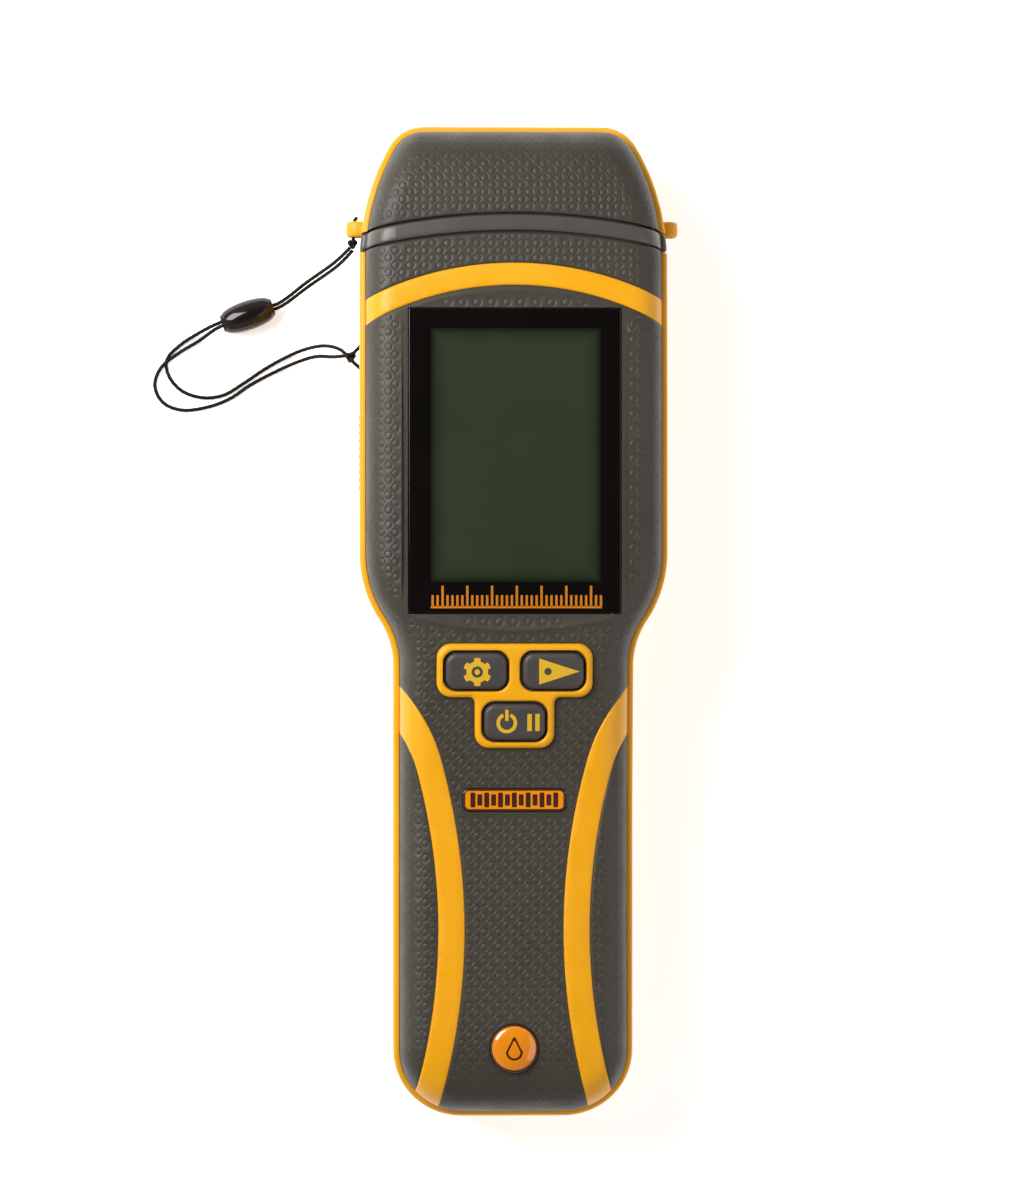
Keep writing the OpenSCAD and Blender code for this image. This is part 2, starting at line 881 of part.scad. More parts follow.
// Point and heading on the cord's smooth curve, t running from 0 to 1 between points i and i + 1
function route(i) = cord_route[min(len(cord_route) - 1, max(0, i))];
function blend_at(i, t) = let (p = route(i - 1), q = route(i), r = route(i + 1), s = route(i + 2))
    0.5 * (2 * q + (r - p) * t + (2 * p - 5 * q + 4 * r - s) * t * t + (3 * q - p - 3 * r + s) * t * t * t);
function heading_at(i, t) = let (v = blend_at(i, t + 0.02) - blend_at(i, t - 0.02)) v / norm(v);

module tether_cord() {
    steps = 2;
    sides = 8;
    spans = len(cord_route) - 1;
    stations = [for (i = [0:spans - 1]) for (j = [0:steps - 1]) [i, j / steps]];
    rings = concat(stations, [[spans - 1, 1]]);
    points = [for (s = rings)
        let (at = blend_at(s[0], s[1]), v = heading_at(s[0], s[1]),
            side = cross(v, [0, 0, 1]), u = side / norm(side), w = cross(u, v))
        for (k = [0:sides - 1])
            at + cord_d / 2 * (u * cos(k * 360 / sides) + w * sin(k * 360 / sides))];
    last = (len(rings) - 1) * sides;
    faces = concat(
        [for (j = [0:len(rings) - 2]) for (k = [0:sides - 1]) for (t = [0, 1])
            let (a = j * sides + k, b = j * sides + (k + 1) % sides, c = b + sides, d = a + sides)
            t == 0 ? [a, b, c] : [a, c, d]],
        [[for (k = [sides - 1:-1:0]) k]],
        [[for (k = [0:sides - 1]) last + k]]);
    color(black_col)
        polyhedron(points, faces, convexity = 10);
}

module tether_bead() {
    half = bead_len / 2;
    color("#241b19")
        translate(bead_mid)
            rotate([0, 0, bead_turn])
                rotate([0, 90, 0])
                    rotate_extrude($fn = 48)
                        polygon(concat([[bead_hole_r, -half]],
                            [for (a = [-90:15:90])
                                [bead_lip_r + (bead_r - bead_lip_r) * cos(a), half * sin(a)]],
                            [[bead_hole_r, half]]));
}

module lug_knot() {
    color(black_col)
        translate([-32.9, 77.7, lug_z - 0.5])
            sphere(r = 0.8, $fn = 24);
}

module anchor_knot() {
    color(black_col)
        translate([-33.3, 54.8, 12.2])
            sphere(r = 1.1, $fn = 24);
}

rear_shell();
rear_grip();
front_shell();
front_grip();
case_gasket();
neck_collar();
nose_block();
nose_seal();
electrode_pin_left();
electrode_pin_right();
pin_nuts();
pin_contacts();
cap_shell();
cap_grip();
display_window();
window_gasket();
lcd_frame();
lcd_glass();
backlight_panel();
zebra_strips();
main_board();
board_chips();
board_screws();
buzzer();
dome_switches();
keypad_surround();
key_settings();
key_reference();
key_power();
badge_plate();
roundel_bezel();
roundel_dome();
battery_cell_left();
battery_cell_right();
battery_springs();
battery_plates();
battery_door();
probe_jacks();
socket_cover();
cover_pin();
lanyard_bar();
case_screws();
tether_cord();
tether_bead();
lug_knot();
anchor_knot();
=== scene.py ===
import json
import math
from contextlib import contextmanager

import bmesh
import bpy
import numpy as np
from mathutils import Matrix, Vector
from mathutils.geometry import delaunay_2d_cdt


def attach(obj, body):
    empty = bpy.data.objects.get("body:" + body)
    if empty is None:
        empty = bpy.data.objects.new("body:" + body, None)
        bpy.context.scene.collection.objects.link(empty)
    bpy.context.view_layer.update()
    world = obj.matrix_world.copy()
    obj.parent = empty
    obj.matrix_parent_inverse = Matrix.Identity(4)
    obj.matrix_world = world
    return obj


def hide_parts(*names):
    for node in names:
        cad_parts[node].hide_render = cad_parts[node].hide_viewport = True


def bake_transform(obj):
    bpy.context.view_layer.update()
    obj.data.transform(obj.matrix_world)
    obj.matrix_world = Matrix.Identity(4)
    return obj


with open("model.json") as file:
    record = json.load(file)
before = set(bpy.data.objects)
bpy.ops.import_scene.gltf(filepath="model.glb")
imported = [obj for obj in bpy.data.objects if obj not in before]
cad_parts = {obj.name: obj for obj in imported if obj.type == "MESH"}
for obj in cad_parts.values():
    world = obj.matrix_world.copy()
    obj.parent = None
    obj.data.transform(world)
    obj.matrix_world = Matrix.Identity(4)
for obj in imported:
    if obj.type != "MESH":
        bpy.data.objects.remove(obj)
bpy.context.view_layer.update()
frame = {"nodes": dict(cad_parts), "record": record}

# All shapes below are worked out in millimetres and scaled to metres as each mesh is made.
MM = 0.001

# ---- driving sizes, in millimetres
END_Y = 101.5
HEAD_X = 31.4
HANDLE_X = 24.5
CAP_CORNER_R = 8.0
CAP_SIDE_R = 51.0
CAP_SIDE_Y = 73.0
HEEL_R = 14.0
WAIST_Y = 14.0
SHOULDER_R = 25.0
HOLLOW_R = 17.0
SEAM_R = 135.0
CASE_SEAM_Y = 79.0
CAP_SEAM_Y = 82.6
SPLIT_Z = 17.0
RIM = 1.3
ROLL = 6.2
ROLL_DROP = 8.0
SIDE_FALL = 0.5
PLATEAU_Z = 40.1
PLATEAU_X = 22.8
WINDOW = (-21.5, 21.5, 1.7, 63.4)
WINDOW_Z = 40.2
SCREEN = (-17.0, 17.4, 8.0, 59.4)
SCREEN_EDGE_SHADE_WIDTH = 3.5
BROW = (0.0, 7.0, 65.6, 61.1)
FLANK_W = 5.4
FLANK_Y = -62.5
FLANK_X = 10.0
FLANK_BOW_IN = 250.0
FLANK_BOW_OUT = 241.0
KEYPAD_Y = -15.0
KEYPAD_TILT = math.radians(7)
BADGE = (0.0, -36.1, 20.8, 4.6)
ROUNDEL = (0.0, -86.5, 4.95)
RING_PITCH = 3.0
RING_MID = 0.73
RING_HALF = 0.17
RING_DEPTH = 0.075
COVER = (25.8, 42.8, 19.0, 28.2)
COVER_BED_X = -29.35
JACK_YS = (30.2, 38.6)
JACK_Z = 23.6
POCKET = (50.8, 58.8, 8.6, 15.6)
POCKET_WALL = 0.6

# ---- the case's outline and crown
CORNER_Y = END_Y - CAP_CORNER_R
SIDE_X = HEAD_X - CAP_SIDE_R
CORNER_X = SIDE_X + math.sqrt((CAP_SIDE_R - CAP_CORNER_R) ** 2 - (CORNER_Y - CAP_SIDE_Y) ** 2)
JOIN_A = math.atan2(CORNER_Y - CAP_SIDE_Y, CORNER_X - SIDE_X)
WAIST_A = math.acos(1 - (HEAD_X - HANDLE_X) / (SHOULDER_R + HOLLOW_R))
WAIST_END_Y = WAIST_Y - (SHOULDER_R + HOLLOW_R) * math.sin(WAIST_A)
HEEL_Y = HEEL_R - END_Y


def arc_n(cx, cy, r, a0, a1, n):
    """An arc of n spans; an angle that grows turns left."""
    a = np.linspace(a0, a1, n + 1)
    return np.stack([cx + r * np.cos(a), cy + r * np.sin(a)], 1)


def arc(cx, cy, r, a0, a1, step):
    """An arc with a point every step or less."""
    return arc_n(cx, cy, r, a0, a1, max(2, math.ceil(abs(a1 - a0) * max(abs(r), 4.0) / step)))


def round_loop(cx, cy, r, step=0.2):
    return arc(cx, cy, r, 0, 2 * math.pi, step)[:-1]


def line_n(p, q, n):
    t = np.linspace(0, 1, n + 1)[:, None]
    return np.array(p, float) * (1 - t) + np.array(q, float) * t


def straight(p, q, step):
    return line_n(p, q, max(1, math.ceil(math.dist(p, q) / step)))


def lattice(xs, ys):
    """Every pairing of xs and ys as plan points, row by row."""
    gx, gy = np.meshgrid(xs, ys)
    return np.column_stack([gx.ravel(), gy.ravel()])


def joined(*runs):
    """One run of points out of several that touch end to end."""
    points = [runs[0]]
    for run in runs[1:]:
        points.append(run[1:])
    return np.concatenate(points)


def right_side(inset, step=0.9):
    """The plan's right half from the cap's end to the handle's end, moved in by inset."""
    corner = arc(CORNER_X, CORNER_Y, CAP_CORNER_R - inset, math.pi / 2, JOIN_A, step)
    bow = arc(SIDE_X, CAP_SIDE_Y, CAP_SIDE_R - inset, JOIN_A, 0, step)
    head = straight((HEAD_X - inset, CAP_SIDE_Y), (HEAD_X - inset, WAIST_Y), step)
    shoulder = arc(HEAD_X - SHOULDER_R, WAIST_Y, SHOULDER_R - inset, 0, -WAIST_A, step)
    hollow = arc(HANDLE_X + HOLLOW_R, WAIST_END_Y, HOLLOW_R + inset, math.pi - WAIST_A, math.pi, step)
    handle = straight((HANDLE_X - inset, WAIST_END_Y), (HANDLE_X - inset, HEEL_Y), step)
    heel = arc(HANDLE_X - HEEL_R, HEEL_Y, HEEL_R - inset, 0, -math.pi / 2, step)
    return joined(corner, bow, head, shoulder, hollow, handle, heel)


def outline(inset, step=0.9):
    """The closed plan outline, clockwise from the cap's end."""
    right = right_side(inset, step)
    left = right[::-1] * [-1, 1]
    heel = straight(right[-1], left[0], step)[1:-1]
    top = straight(left[-1], right[0], step)[1:-1]
    return np.concatenate([right, heel, left, top])


EDGE = outline(0.0, 0.6)


def to_line(points, line, reach=2.0):
    """Distance from plan points to a closed line, or 99 outside the line's box grown by reach."""
    span = np.roll(line, -1, 0) - line
    length_squared = np.maximum((span * span).sum(1), 1e-12)
    out = np.full(len(points), 99.0)
    near = ((points > line.min(0) - reach) & (points < line.max(0) + reach)).all(1)
    for part in np.array_split(np.nonzero(near)[0], max(1, near.sum() // 4000)):
        away = points[part, None, :] - line
        t = np.clip((away * span).sum(2) / length_squared, 0, 1)
        out[part] = np.sqrt(((away - t[..., None] * span) ** 2).sum(2).min(1))
    return out


def depth_inside(points):
    """Distance from each plan point to the case's outline."""
    return to_line(points, EDGE, math.inf)


def flat(z):
    """A height function of plan points that is z everywhere."""
    return lambda p: np.full(len(p), float(z))


def ease(a, b, v):
    t = np.clip((np.asarray(v, float) - a) / (b - a), 0, 1)
    return t * t * (3 - 2 * t)


def crown(y):
    """Height of the front's middle line."""
    y = np.asarray(y, float)
    head = 36 + 5 * ease(-44, 14, y) - 1.6 * (np.maximum(0, y - 30) / 49) ** 2
    tip = 4.5 * (np.maximum(0, y - 84) / 17.5) ** 2
    heel = 4 * (np.maximum(0, -84 - y) / 17.5) ** 2
    return head - tip - heel


def half_width(y):
    """Half width of the case at a distance along it, for the front's crossways crown."""
    side = right_side(0.0)[::-1]
    return np.interp(y, side[:, 1], side[:, 0])


def roll(d):
    """How far the grip has rolled down at a distance inside the outline."""
    u = 1 - np.clip((d - RIM) / ROLL, 0, 1)
    return ROLL_DROP * (1 - (1 - u ** 2.4) ** (1 / 2.4))


def front_z(points, d=None):
    """Height of the front surface over plan points."""
    points = np.asarray(points, float)
    if d is None:
        d = depth_inside(points)
    across = np.clip(np.abs(points[:, 0]) / half_width(points[:, 1]), 0, 1)
    return crown(points[:, 1]) - SIDE_FALL * across ** 2 - roll(d)


def seam_y(x, top):
    return top - SEAM_R + np.sqrt(SEAM_R ** 2 - np.asarray(x, float) ** 2)


# ---- materials
def material(name, base, roughness, metallic=0.0, coat=0.0, specular=0.5):
    """A new material and its node tree, with the uniform values on the shader's own sockets."""
    m = bpy.data.materials.new(name)
    m.use_nodes = True
    shader = shader_of(m)
    shader.inputs["Base Color"].default_value = (*base, 1)
    shader.inputs["Roughness"].default_value = roughness
    shader.inputs["Metallic"].default_value = metallic
    shader.inputs["Coat Weight"].default_value = coat
    shader.inputs["Coat Roughness"].default_value = 0.08
    shader.inputs["Specular IOR Level"].default_value = specular
    return m


def shader_of(m):
    return m.node_tree.nodes["Principled BSDF"]


def add(m, kind, **values):
    n = m.node_tree.nodes.new(kind)
    for key, value in values.items():
        setattr(n, key, value)
    return n


def link(m, a, b):
    m.node_tree.links.new(a, b)


def place(m):
    return add(m, "ShaderNodeTexCoord").outputs["Object"]


def noise(m, scale, detail=4.0, rough=0.55):
    n = add(m, "ShaderNodeTexNoise")
    n.inputs["Scale"].default_value = scale
    n.inputs["Detail"].default_value = detail
    n.inputs["Roughness"].default_value = rough
    link(m, place(m), n.inputs["Vector"])
    return n.outputs["Fac"]


def ramp(m, source, stops):
    n = add(m, "ShaderNodeValToRGB")
    n.color_ramp.elements[0].position = stops[0][0]
    n.color_ramp.elements[1].position = stops[-1][0]
    for position, _ in stops[1:-1]:
        n.color_ramp.elements.new(position)
    for element, (_, color) in zip(n.color_ramp.elements, stops):
        element.color = (*color, 1) if len(color) == 3 else color
    link(m, source, n.inputs["Fac"])
    return n.outputs["Color"]


def bump(m, source, strength, distance):
    n = add(m, "ShaderNodeBump")
    n.inputs["Strength"].default_value = strength
    n.inputs["Distance"].default_value = distance
    link(m, source, n.inputs["Height"])
    to_shader(m, n.outputs["Normal"], "Normal")


def to_shader(m, source, socket):
    link(m, source, shader_of(m).inputs[socket])


def grey(v):
    return (v, v, v)


def drift(m, scale, detail, low, high, socket, rough=0.55, stops=(0.3, 0.7)):
    """A value or colour that wanders between low and high over the surface."""
    ends = [grey(v) if isinstance(v, float) else v for v in (low, high)]
    to_shader(m, ramp(m, noise(m, scale, detail, rough), list(zip(stops, ends))), socket)


def plastic(name, low, high, gloss=(0.3, 0.42), coat=0.0, specular=0.5, grain=900, depth=0.00002):
    """Moulded plastic: a slow drift of colour, a fine grain and an uneven gloss."""
    m = material(name, [(a + b) / 2 for a, b in zip(low, high)], gloss[0], coat=coat, specular=specular)
    drift(m, 45, 3, low, high, "Base Color")
    drift(m, 160, 5, *gloss, "Roughness")
    bump(m, noise(m, grain, 6), 0.25, depth)
    return m


def rubber(name, low, high, gloss=(0.5, 0.66)):
    """Matt moulded rubber with a fine spark-eroded grain and faint handling marks."""
    m = material(name, low, gloss[0], specular=0.42)
    drift(m, 30, 5, low, high, "Base Color", 0.6, (0.3, 0.72))
    drift(m, 220, 6, *gloss, "Roughness", stops=(0.3, 0.75))
    bump(m, noise(m, 1900, 5), 0.5, 0.00005)
    return m


def metal(name, base):
    m = material(name, base, 0.18, metallic=1.0)
    drift(m, 700, 5, 0.18, 0.34, "Roughness")
    bump(m, noise(m, 1800, 3), 0.15, 0.00001)
    return m


def make_materials():
    """Every material under the name of its slot."""
    mats = {
        "yellow": plastic("yellow_plastic", (0.73, 0.32, 0.0015), (0.78, 0.35, 0.003), (0.36, 0.48),
                          specular=0.35),
        "grip": rubber("grip_rubber", (0.034, 0.028, 0.0195), (0.044, 0.0365, 0.0255), (0.44, 0.58)),
        "collar": plastic("collar_plastic", (0.06, 0.05, 0.042), (0.076, 0.064, 0.054)),
        "key": rubber("key_rubber", (0.048, 0.041, 0.037), (0.06, 0.052, 0.047), (0.4, 0.52)),
        "icon": plastic("icon_ink", (0.57, 0.33, 0.010), (0.66, 0.385, 0.016), (0.4, 0.5)),
        # The groove slot is near-black painted shade for the gaps at the seams and round the keys.
        "groove": rubber("painted_gap_shade", (0.012, 0.010, 0.009), (0.018, 0.015, 0.013), (0.7, 0.8)),
        "window": plastic("window_black", (0.0035, 0.0028, 0.0026), (0.005, 0.0035, 0.0035), (0.035, 0.06),
                          specular=0.3, grain=60, depth=0.000003),
        "lcd": plastic("lcd_panel", (0.023, 0.031, 0.0165), (0.028, 0.036, 0.020), (0.08, 0.14),
                       coat=0.1, specular=0.4, grain=80, depth=0.000002),
        "orange": plastic("orange_enamel", (0.66, 0.19, 0.006), (0.78, 0.25, 0.010), (0.12, 0.2), coat=0.6),
        "scale": plastic("scale_ink", (0.46, 0.145, 0.010), (0.54, 0.175, 0.014), (0.2, 0.3), coat=0.2),
        "dark_rim": plastic("badge_rim", (0.035, 0.011, 0.004), (0.055, 0.018, 0.006), (0.2, 0.3), coat=0.3),
        "black_plastic": plastic("black_plastic", grey(0.016), grey(0.024), (0.4, 0.55)),
        "seal": rubber("seal_rubber", grey(0.012), grey(0.02)),
        "steel": metal("plated_steel", (0.66, 0.66, 0.67)),
        "brass": metal("brass", (0.72, 0.50, 0.17)),
        "white_plastic": plastic("white_plastic", (0.7, 0.69, 0.66), (0.78, 0.77, 0.74), (0.45, 0.55)),
        "zebra": rubber("zebra_rubber", grey(0.10), grey(0.14)),
        "board": plastic("board_mask", (0.010, 0.075, 0.025), (0.016, 0.11, 0.038), (0.25, 0.35), coat=0.3),
        "chip": plastic("chip_black", (0.014, 0.014, 0.016), (0.022, 0.022, 0.024), (0.5, 0.6)),
        "cell": plastic("cell_jacket", (0.045, 0.08, 0.13), (0.06, 0.1, 0.155), (0.25, 0.35), coat=0.3),
        "cord": cord_material(),
        "bead": plastic("bead_plastic", (0.008, 0.005, 0.0045), (0.014, 0.009, 0.008), (0.08, 0.14),
                        specular=0.4)}
    # The screen's colour gets painted shade towards its edges.
    paint_screen_edge_shade(mats["lcd"])
    return mats


def compute(m, operation, a, b):
    """A math node of two values, each a number or a socket."""
    n = add(m, "ShaderNodeMath", operation=operation)
    for socket, value in zip(n.inputs, (a, b)):
        if isinstance(value, (int, float)):
            socket.default_value = value
        else:
            link(m, value, socket)
    return n.outputs["Value"]


def paint_screen_edge_shade(m):
    """Paints shade into the screen's colour, darker towards its four edges."""
    parts = add(m, "ShaderNodeSeparateXYZ")
    link(m, place(m), parts.inputs["Vector"])
    x0, x1, y0, y1 = [v * MM for v in SCREEN]
    sides = []
    for axis, low, high in (("X", x0, x1), ("Y", y0, y1)):
        off = compute(m, "ABSOLUTE", compute(m, "SUBTRACT", parts.outputs[axis], (low + high) / 2), 0.0)
        inside = compute(m, "SUBTRACT", (high - low) / 2, off)
        sides.append(compute(m, "DIVIDE", inside, SCREEN_EDGE_SHADE_WIDTH * MM))
    near = compute(m, "MINIMUM", *sides)
    mix = add(m, "ShaderNodeMix", data_type="RGBA", blend_type="MULTIPLY")
    factor, base, shade_by = mix.inputs[0], mix.inputs[6], mix.inputs[7]
    factor.default_value = 1.0
    link(m, shader_of(m).inputs["Base Color"].links[0].from_socket, base)
    link(m, ramp(m, near, [(0.0, grey(0.25)), (0.4, grey(0.78)), (1.0, grey(1.0))]), shade_by)
    to_shader(m, mix.outputs[2], "Base Color")


def cord_material():
    """Fine black braid: crossed waves along the object axes give its weave."""
    m = material("cord_braid", (0.003, 0.0025, 0.0025), 0.6, specular=0.12)
    wave = add(m, "ShaderNodeTexWave", wave_type="BANDS", bands_direction="DIAGONAL")
    wave.inputs["Scale"].default_value = 900
    wave.inputs["Distortion"].default_value = 1.5
    link(m, place(m), wave.inputs["Vector"])
    weave = ramp(m, wave.outputs["Fac"], [(0.2, (0.004, 0.0035, 0.0035)), (0.8, (0.012, 0.011, 0.010))])
    to_shader(m, weave, "Base Color")
    drift(m, 500, 4, 0.45, 0.62, "Roughness")
    bump(m, wave.outputs["Fac"], 0.5, 0.00005)
    return m


MATS = make_materials()

# ---- mesh helpers
def new_object(name, data):
    obj = bpy.data.objects.new(name, data)
    bpy.context.scene.collection.objects.link(obj)
    return obj


def new_mesh(name, solid):
    """A mesh in metres out of points in millimetres and faces."""
    points, faces = solid
    mesh = bpy.data.meshes.new(name)
    mesh.from_pydata((np.asarray(points, float) * MM).tolist(), [], [tuple(map(int, f)) for f in faces])
    return mesh


@contextmanager
def edited(mesh):
    """The mesh as a bmesh, written back at the end."""
    bm = bmesh.new()
    bm.from_mesh(mesh)
    yield bm
    bm.to_mesh(mesh)
    bm.free()


def piece(name, solid, body, mat, node=None, smooth=40):
    """A solid becomes a piece that rides on a body and takes the place of a CAD node."""
    mesh = new_mesh(name, solid)
    mesh.validate()
    with edited(mesh) as bm:
        bmesh.ops.remove_doubles(bm, verts=bm.verts, dist=1e-7)
        bmesh.ops.dissolve_degenerate(bm, edges=bm.edges, dist=1e-8)
        bmesh.ops.recalc_face_normals(bm, faces=bm.faces)
    mesh.materials.append(MATS[mat])
    obj = new_object(name, mesh)
    shade(obj, smooth)
    if body:
        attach(obj, body)
    if node:
        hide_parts(node)
    return obj


def shade(obj, angle):
    """Smooth shading, with edges sharper than the angle kept sharp."""
    mesh = obj.data
    mesh.polygons.foreach_set("use_smooth", [True] * len(mesh.polygons))
    with edited(mesh) as bm:
        for e in bm.edges:
            e.smooth = len(e.link_faces) == 2 and e.calc_face_angle(0.0) < math.radians(angle)


def quads(rows, columns, round_rows=True, round_columns=True):
    """Faces of a net of points numbered row by row, closed round its rows and its columns."""
    faces = []
    for k in range(rows if round_rows else rows - 1):
        k2 = (k + 1) % rows
        for i in range(columns if round_columns else columns - 1):
            j = (i + 1) % columns
            faces.append((k * columns + i, k * columns + j, k2 * columns + j, k2 * columns + i))
    return faces


def swept(path_of, section):
    """A solid whose closed section of (inset, height function) follows a path in the plan.

    path_of(inset) gives the path's points at an inset."""
    columns = []
    for inset, height in section:
        p = path_of(inset)
        columns.append(np.column_stack([p, height(p)]))
    rows, n = len(section), len(columns[0])
    ends = [[k * n for k in range(rows)], [k * n + n - 1 for k in reversed(range(rows))]]
    return np.concatenate(columns), quads(rows, n, round_columns=False) + ends


def shifted(faces, by):
    return [tuple(i + by for i in face) for face in faces]


def merged(*solids):
    points, faces = [], []
    base = 0
    for p, f in solids:
        points.append(np.asarray(p, float))
        faces += shifted(f, base)
        base += len(p)
    return np.concatenate(points), faces


def triangulate(points, edges, tolerance=1e-6):
    """Points and triangles of a plan net that keeps the edges."""
    result = delaunay_2d_cdt([Vector(p) for p in points.tolist()], edges, [], 0, tolerance)
    return np.array([tuple(v) for v in result[0]]), np.array([f for f in result[2] if len(f) == 3])


def face_up(xy, tris):
    """Turns over the triangles that face down."""
    a, b = xy[tris[:, 1]] - xy[tris[:, 0]], xy[tris[:, 2]] - xy[tris[:, 0]]
    down = a[:, 0] * b[:, 1] < a[:, 1] * b[:, 0]
    tris[down] = tris[down][:, ::-1]


class Sheet:
    """A plan triangulated between lines and points, from which regions are lifted as solids."""

    def __init__(self, lines, loose):
        points, edges = [], []
        base = 0
        for line, closed in lines:
            n = len(line)
            points.append(line)
            edges += [(base + i, base + i + 1) for i in range(n - 1)]
            if closed:
                edges.append((base + n - 1, base))
            base += n
        points.append(loose)
        self.xy, self.tris = triangulate(np.concatenate(points), edges, 1e-4)
        self.middle = self.xy[self.tris].mean(1)

    def lift(self, keep, top, bottom):
        """A closed solid over the triangles kept: top and bottom give heights for plan points."""
        used, order = np.unique(self.tris[keep], return_inverse=True)
        tris = order.reshape(-1, 3)
        xy = self.xy[used]
        face_up(xy, tris)
        edges = np.concatenate([tris[:, [0, 1]], tris[:, [1, 2]], tris[:, [2, 0]]])
        n = len(xy)
        rim = edges[~np.isin(edges[:, 0] * n + edges[:, 1], edges[:, 1] * n + edges[:, 0])]
        rim_points = np.unique(rim)
        spot = {int(v): i for i, v in enumerate(rim_points)}
        low, low_tris = self.under(xy[rim_points], [(spot[int(u)], spot[int(v)]) for u, v in rim])
        faces = [tuple(t) for t in tris]
        faces += [(int(u), n + spot[int(u)], n + spot[int(v)], int(v)) for u, v in rim]
        faces += [(n + c, n + b, n + a) for a, b, c in low_tris]
        return np.concatenate([np.column_stack([xy, top(xy)]), np.column_stack([low, bottom(low)])]), faces

    @staticmethod
    def under(rim, edges, step=5.0):
        """A coarse triangulation inside the rim, for a solid's hidden side."""
        lo, hi = rim.min(0), rim.max(0)
        grid = lattice(np.arange(lo[0] + step, hi[0], step), np.arange(lo[1] + step, hi[1], step))
        points, tris = triangulate(np.concatenate([rim, grid]), edges)
        assert np.allclose(points[:len(rim)], rim, atol=1e-4)
        tris = tris[in_polygons(points[tris].mean(1), points, edges)]
        face_up(points, tris)
        used = np.unique(np.concatenate([tris.ravel(), np.arange(len(rim))]))
        renumber = np.full(len(points), -1)
        renumber[used] = np.arange(len(used))
        return points[used], renumber[tris]


def in_polygons(tests, points, edges):
    """Even-odd test of plan points against a set of closed edges."""
    e = np.array(edges)
    a, b = points[e[:, 0]], points[e[:, 1]]
    out = np.zeros(len(tests), bool)
    for i in range(0, len(tests), 2000):
        p = tests[i:i + 2000, None, :]
        spans = (a[:, 1] > p[..., 1]) != (b[:, 1] > p[..., 1])
        with np.errstate(divide="ignore", invalid="ignore"):
            x = a[:, 0] + (p[..., 1] - a[:, 1]) * (b[:, 0] - a[:, 0]) / (b[:, 1] - a[:, 1])
        out[i:i + 2000] = (spans & (p[..., 0] < x)).sum(1) % 2 == 1
    return out


# ---- camera and light
# The camera stands a little to the left of straight above, about a metre away.
VIEW_MIDDLE = (-0.36, 4.42, 18.0)
VIEW_DISTANCE = 1031.0
VIEW_LEAN = 0.0279
FRAME_WIDTH = 210.4
SENSOR = 36.0


def make_camera():
    data = bpy.data.cameras.new("camera")
    data.sensor_fit = "HORIZONTAL"
    data.sensor_width = SENSOR
    data.lens = SENSOR * VIEW_DISTANCE / FRAME_WIDTH
    data.clip_start = 0.01
    camera = new_object("camera", data)
    x, y, z = VIEW_MIDDLE
    camera.location = Vector((x - VIEW_DISTANCE * VIEW_LEAN, y, z + VIEW_DISTANCE)) * MM
    camera.rotation_euler = (0, -math.atan(VIEW_LEAN), 0)
    bpy.context.scene.camera = camera


def area_light(name, place_mm, aim_mm, size_mm, power):
    """A square lamp that faces the point it is aimed at."""
    data = bpy.data.lights.new(name, "AREA")
    data.shape = "RECTANGLE"
    data.size = data.size_y = size_mm * MM
    data.energy = power
    lamp = new_object(name, data)
    lamp.location = Vector(place_mm) * MM
    aim = Vector(aim_mm) - Vector(place_mm)
    lamp.rotation_euler = aim.to_track_quat("-Z", "Y").to_euler()


def make_light():
    """Two soft lamps and a pale sky that is dark overhead, where the glossy window looks."""
    world = bpy.data.worlds.new("world")
    world.use_nodes = True
    bpy.context.scene.world = world
    parts = add(world, "ShaderNodeSeparateXYZ")
    link(world, add(world, "ShaderNodeTexCoord").outputs["Generated"], parts.inputs["Vector"])
    heights = [(0.0, grey(0.8)), (0.62, grey(0.8)), (0.86, grey(0.1)), (1.0, grey(0.02))]
    sky = ramp(world, parts.outputs["Z"], heights)
    link(world, sky, world.node_tree.nodes["Background"].inputs["Color"])
    seen = add(world, "ShaderNodeLightPath").outputs["Is Camera Ray"]
    strength = compute(world, "MULTIPLY_ADD", seen, 0.7)
    strength.node.inputs[2].default_value = 0.55
    link(world, strength, world.node_tree.nodes["Background"].inputs["Strength"])
    area_light("key_light", (-310, 200, 390), (0, 10, 20), 300, 3.6)
    area_light("fill_light", (600, -160, 560), (0, 0, 20), 700, 2.0)
    bpy.context.scene.view_settings.view_transform = "Standard"


def make_floor():
    """A plain pale floor that reaches well outside the view."""
    half, edge, sink = 900.0, 8, 0.02
    line = np.linspace(-half, half, edge)
    points = np.column_stack([lattice(line, line), np.full(edge * edge, -sink)])
    floor = new_object("floor", new_mesh("floor", (points, quads(edge, edge, False, False))))
    m = material("floor_paper", (0.86, 0.86, 0.86), 0.7)
    drift(m, 4, 2, 0.85, 0.87, "Base Color")
    shader_of(m).inputs["Emission Color"].default_value = (1, 1, 1, 1)
    shader_of(m).inputs["Emission Strength"].default_value = 0.6
    floor.data.materials.append(m)


make_camera()
make_light()
make_floor()

# ---- the lanyard
CORD_D = 0.75
BEAD_MIDDLE = np.array([-54.8, 63.9, 3.1])
BEAD_TURN = math.radians(19)
BEAD_LENGTH = 11.3
BEAD_R = 3.1
STRAND_GAP = 0.42


def strand(along, side):
    """Point on one of the two strands in the bead, along it from its middle."""
    c, s = math.cos(BEAD_TURN), math.sin(BEAD_TURN)
    o = side * STRAND_GAP
    return tuple(BEAD_MIDDLE + np.array([along * c - o * s, along * s + o * c, 0.0]))


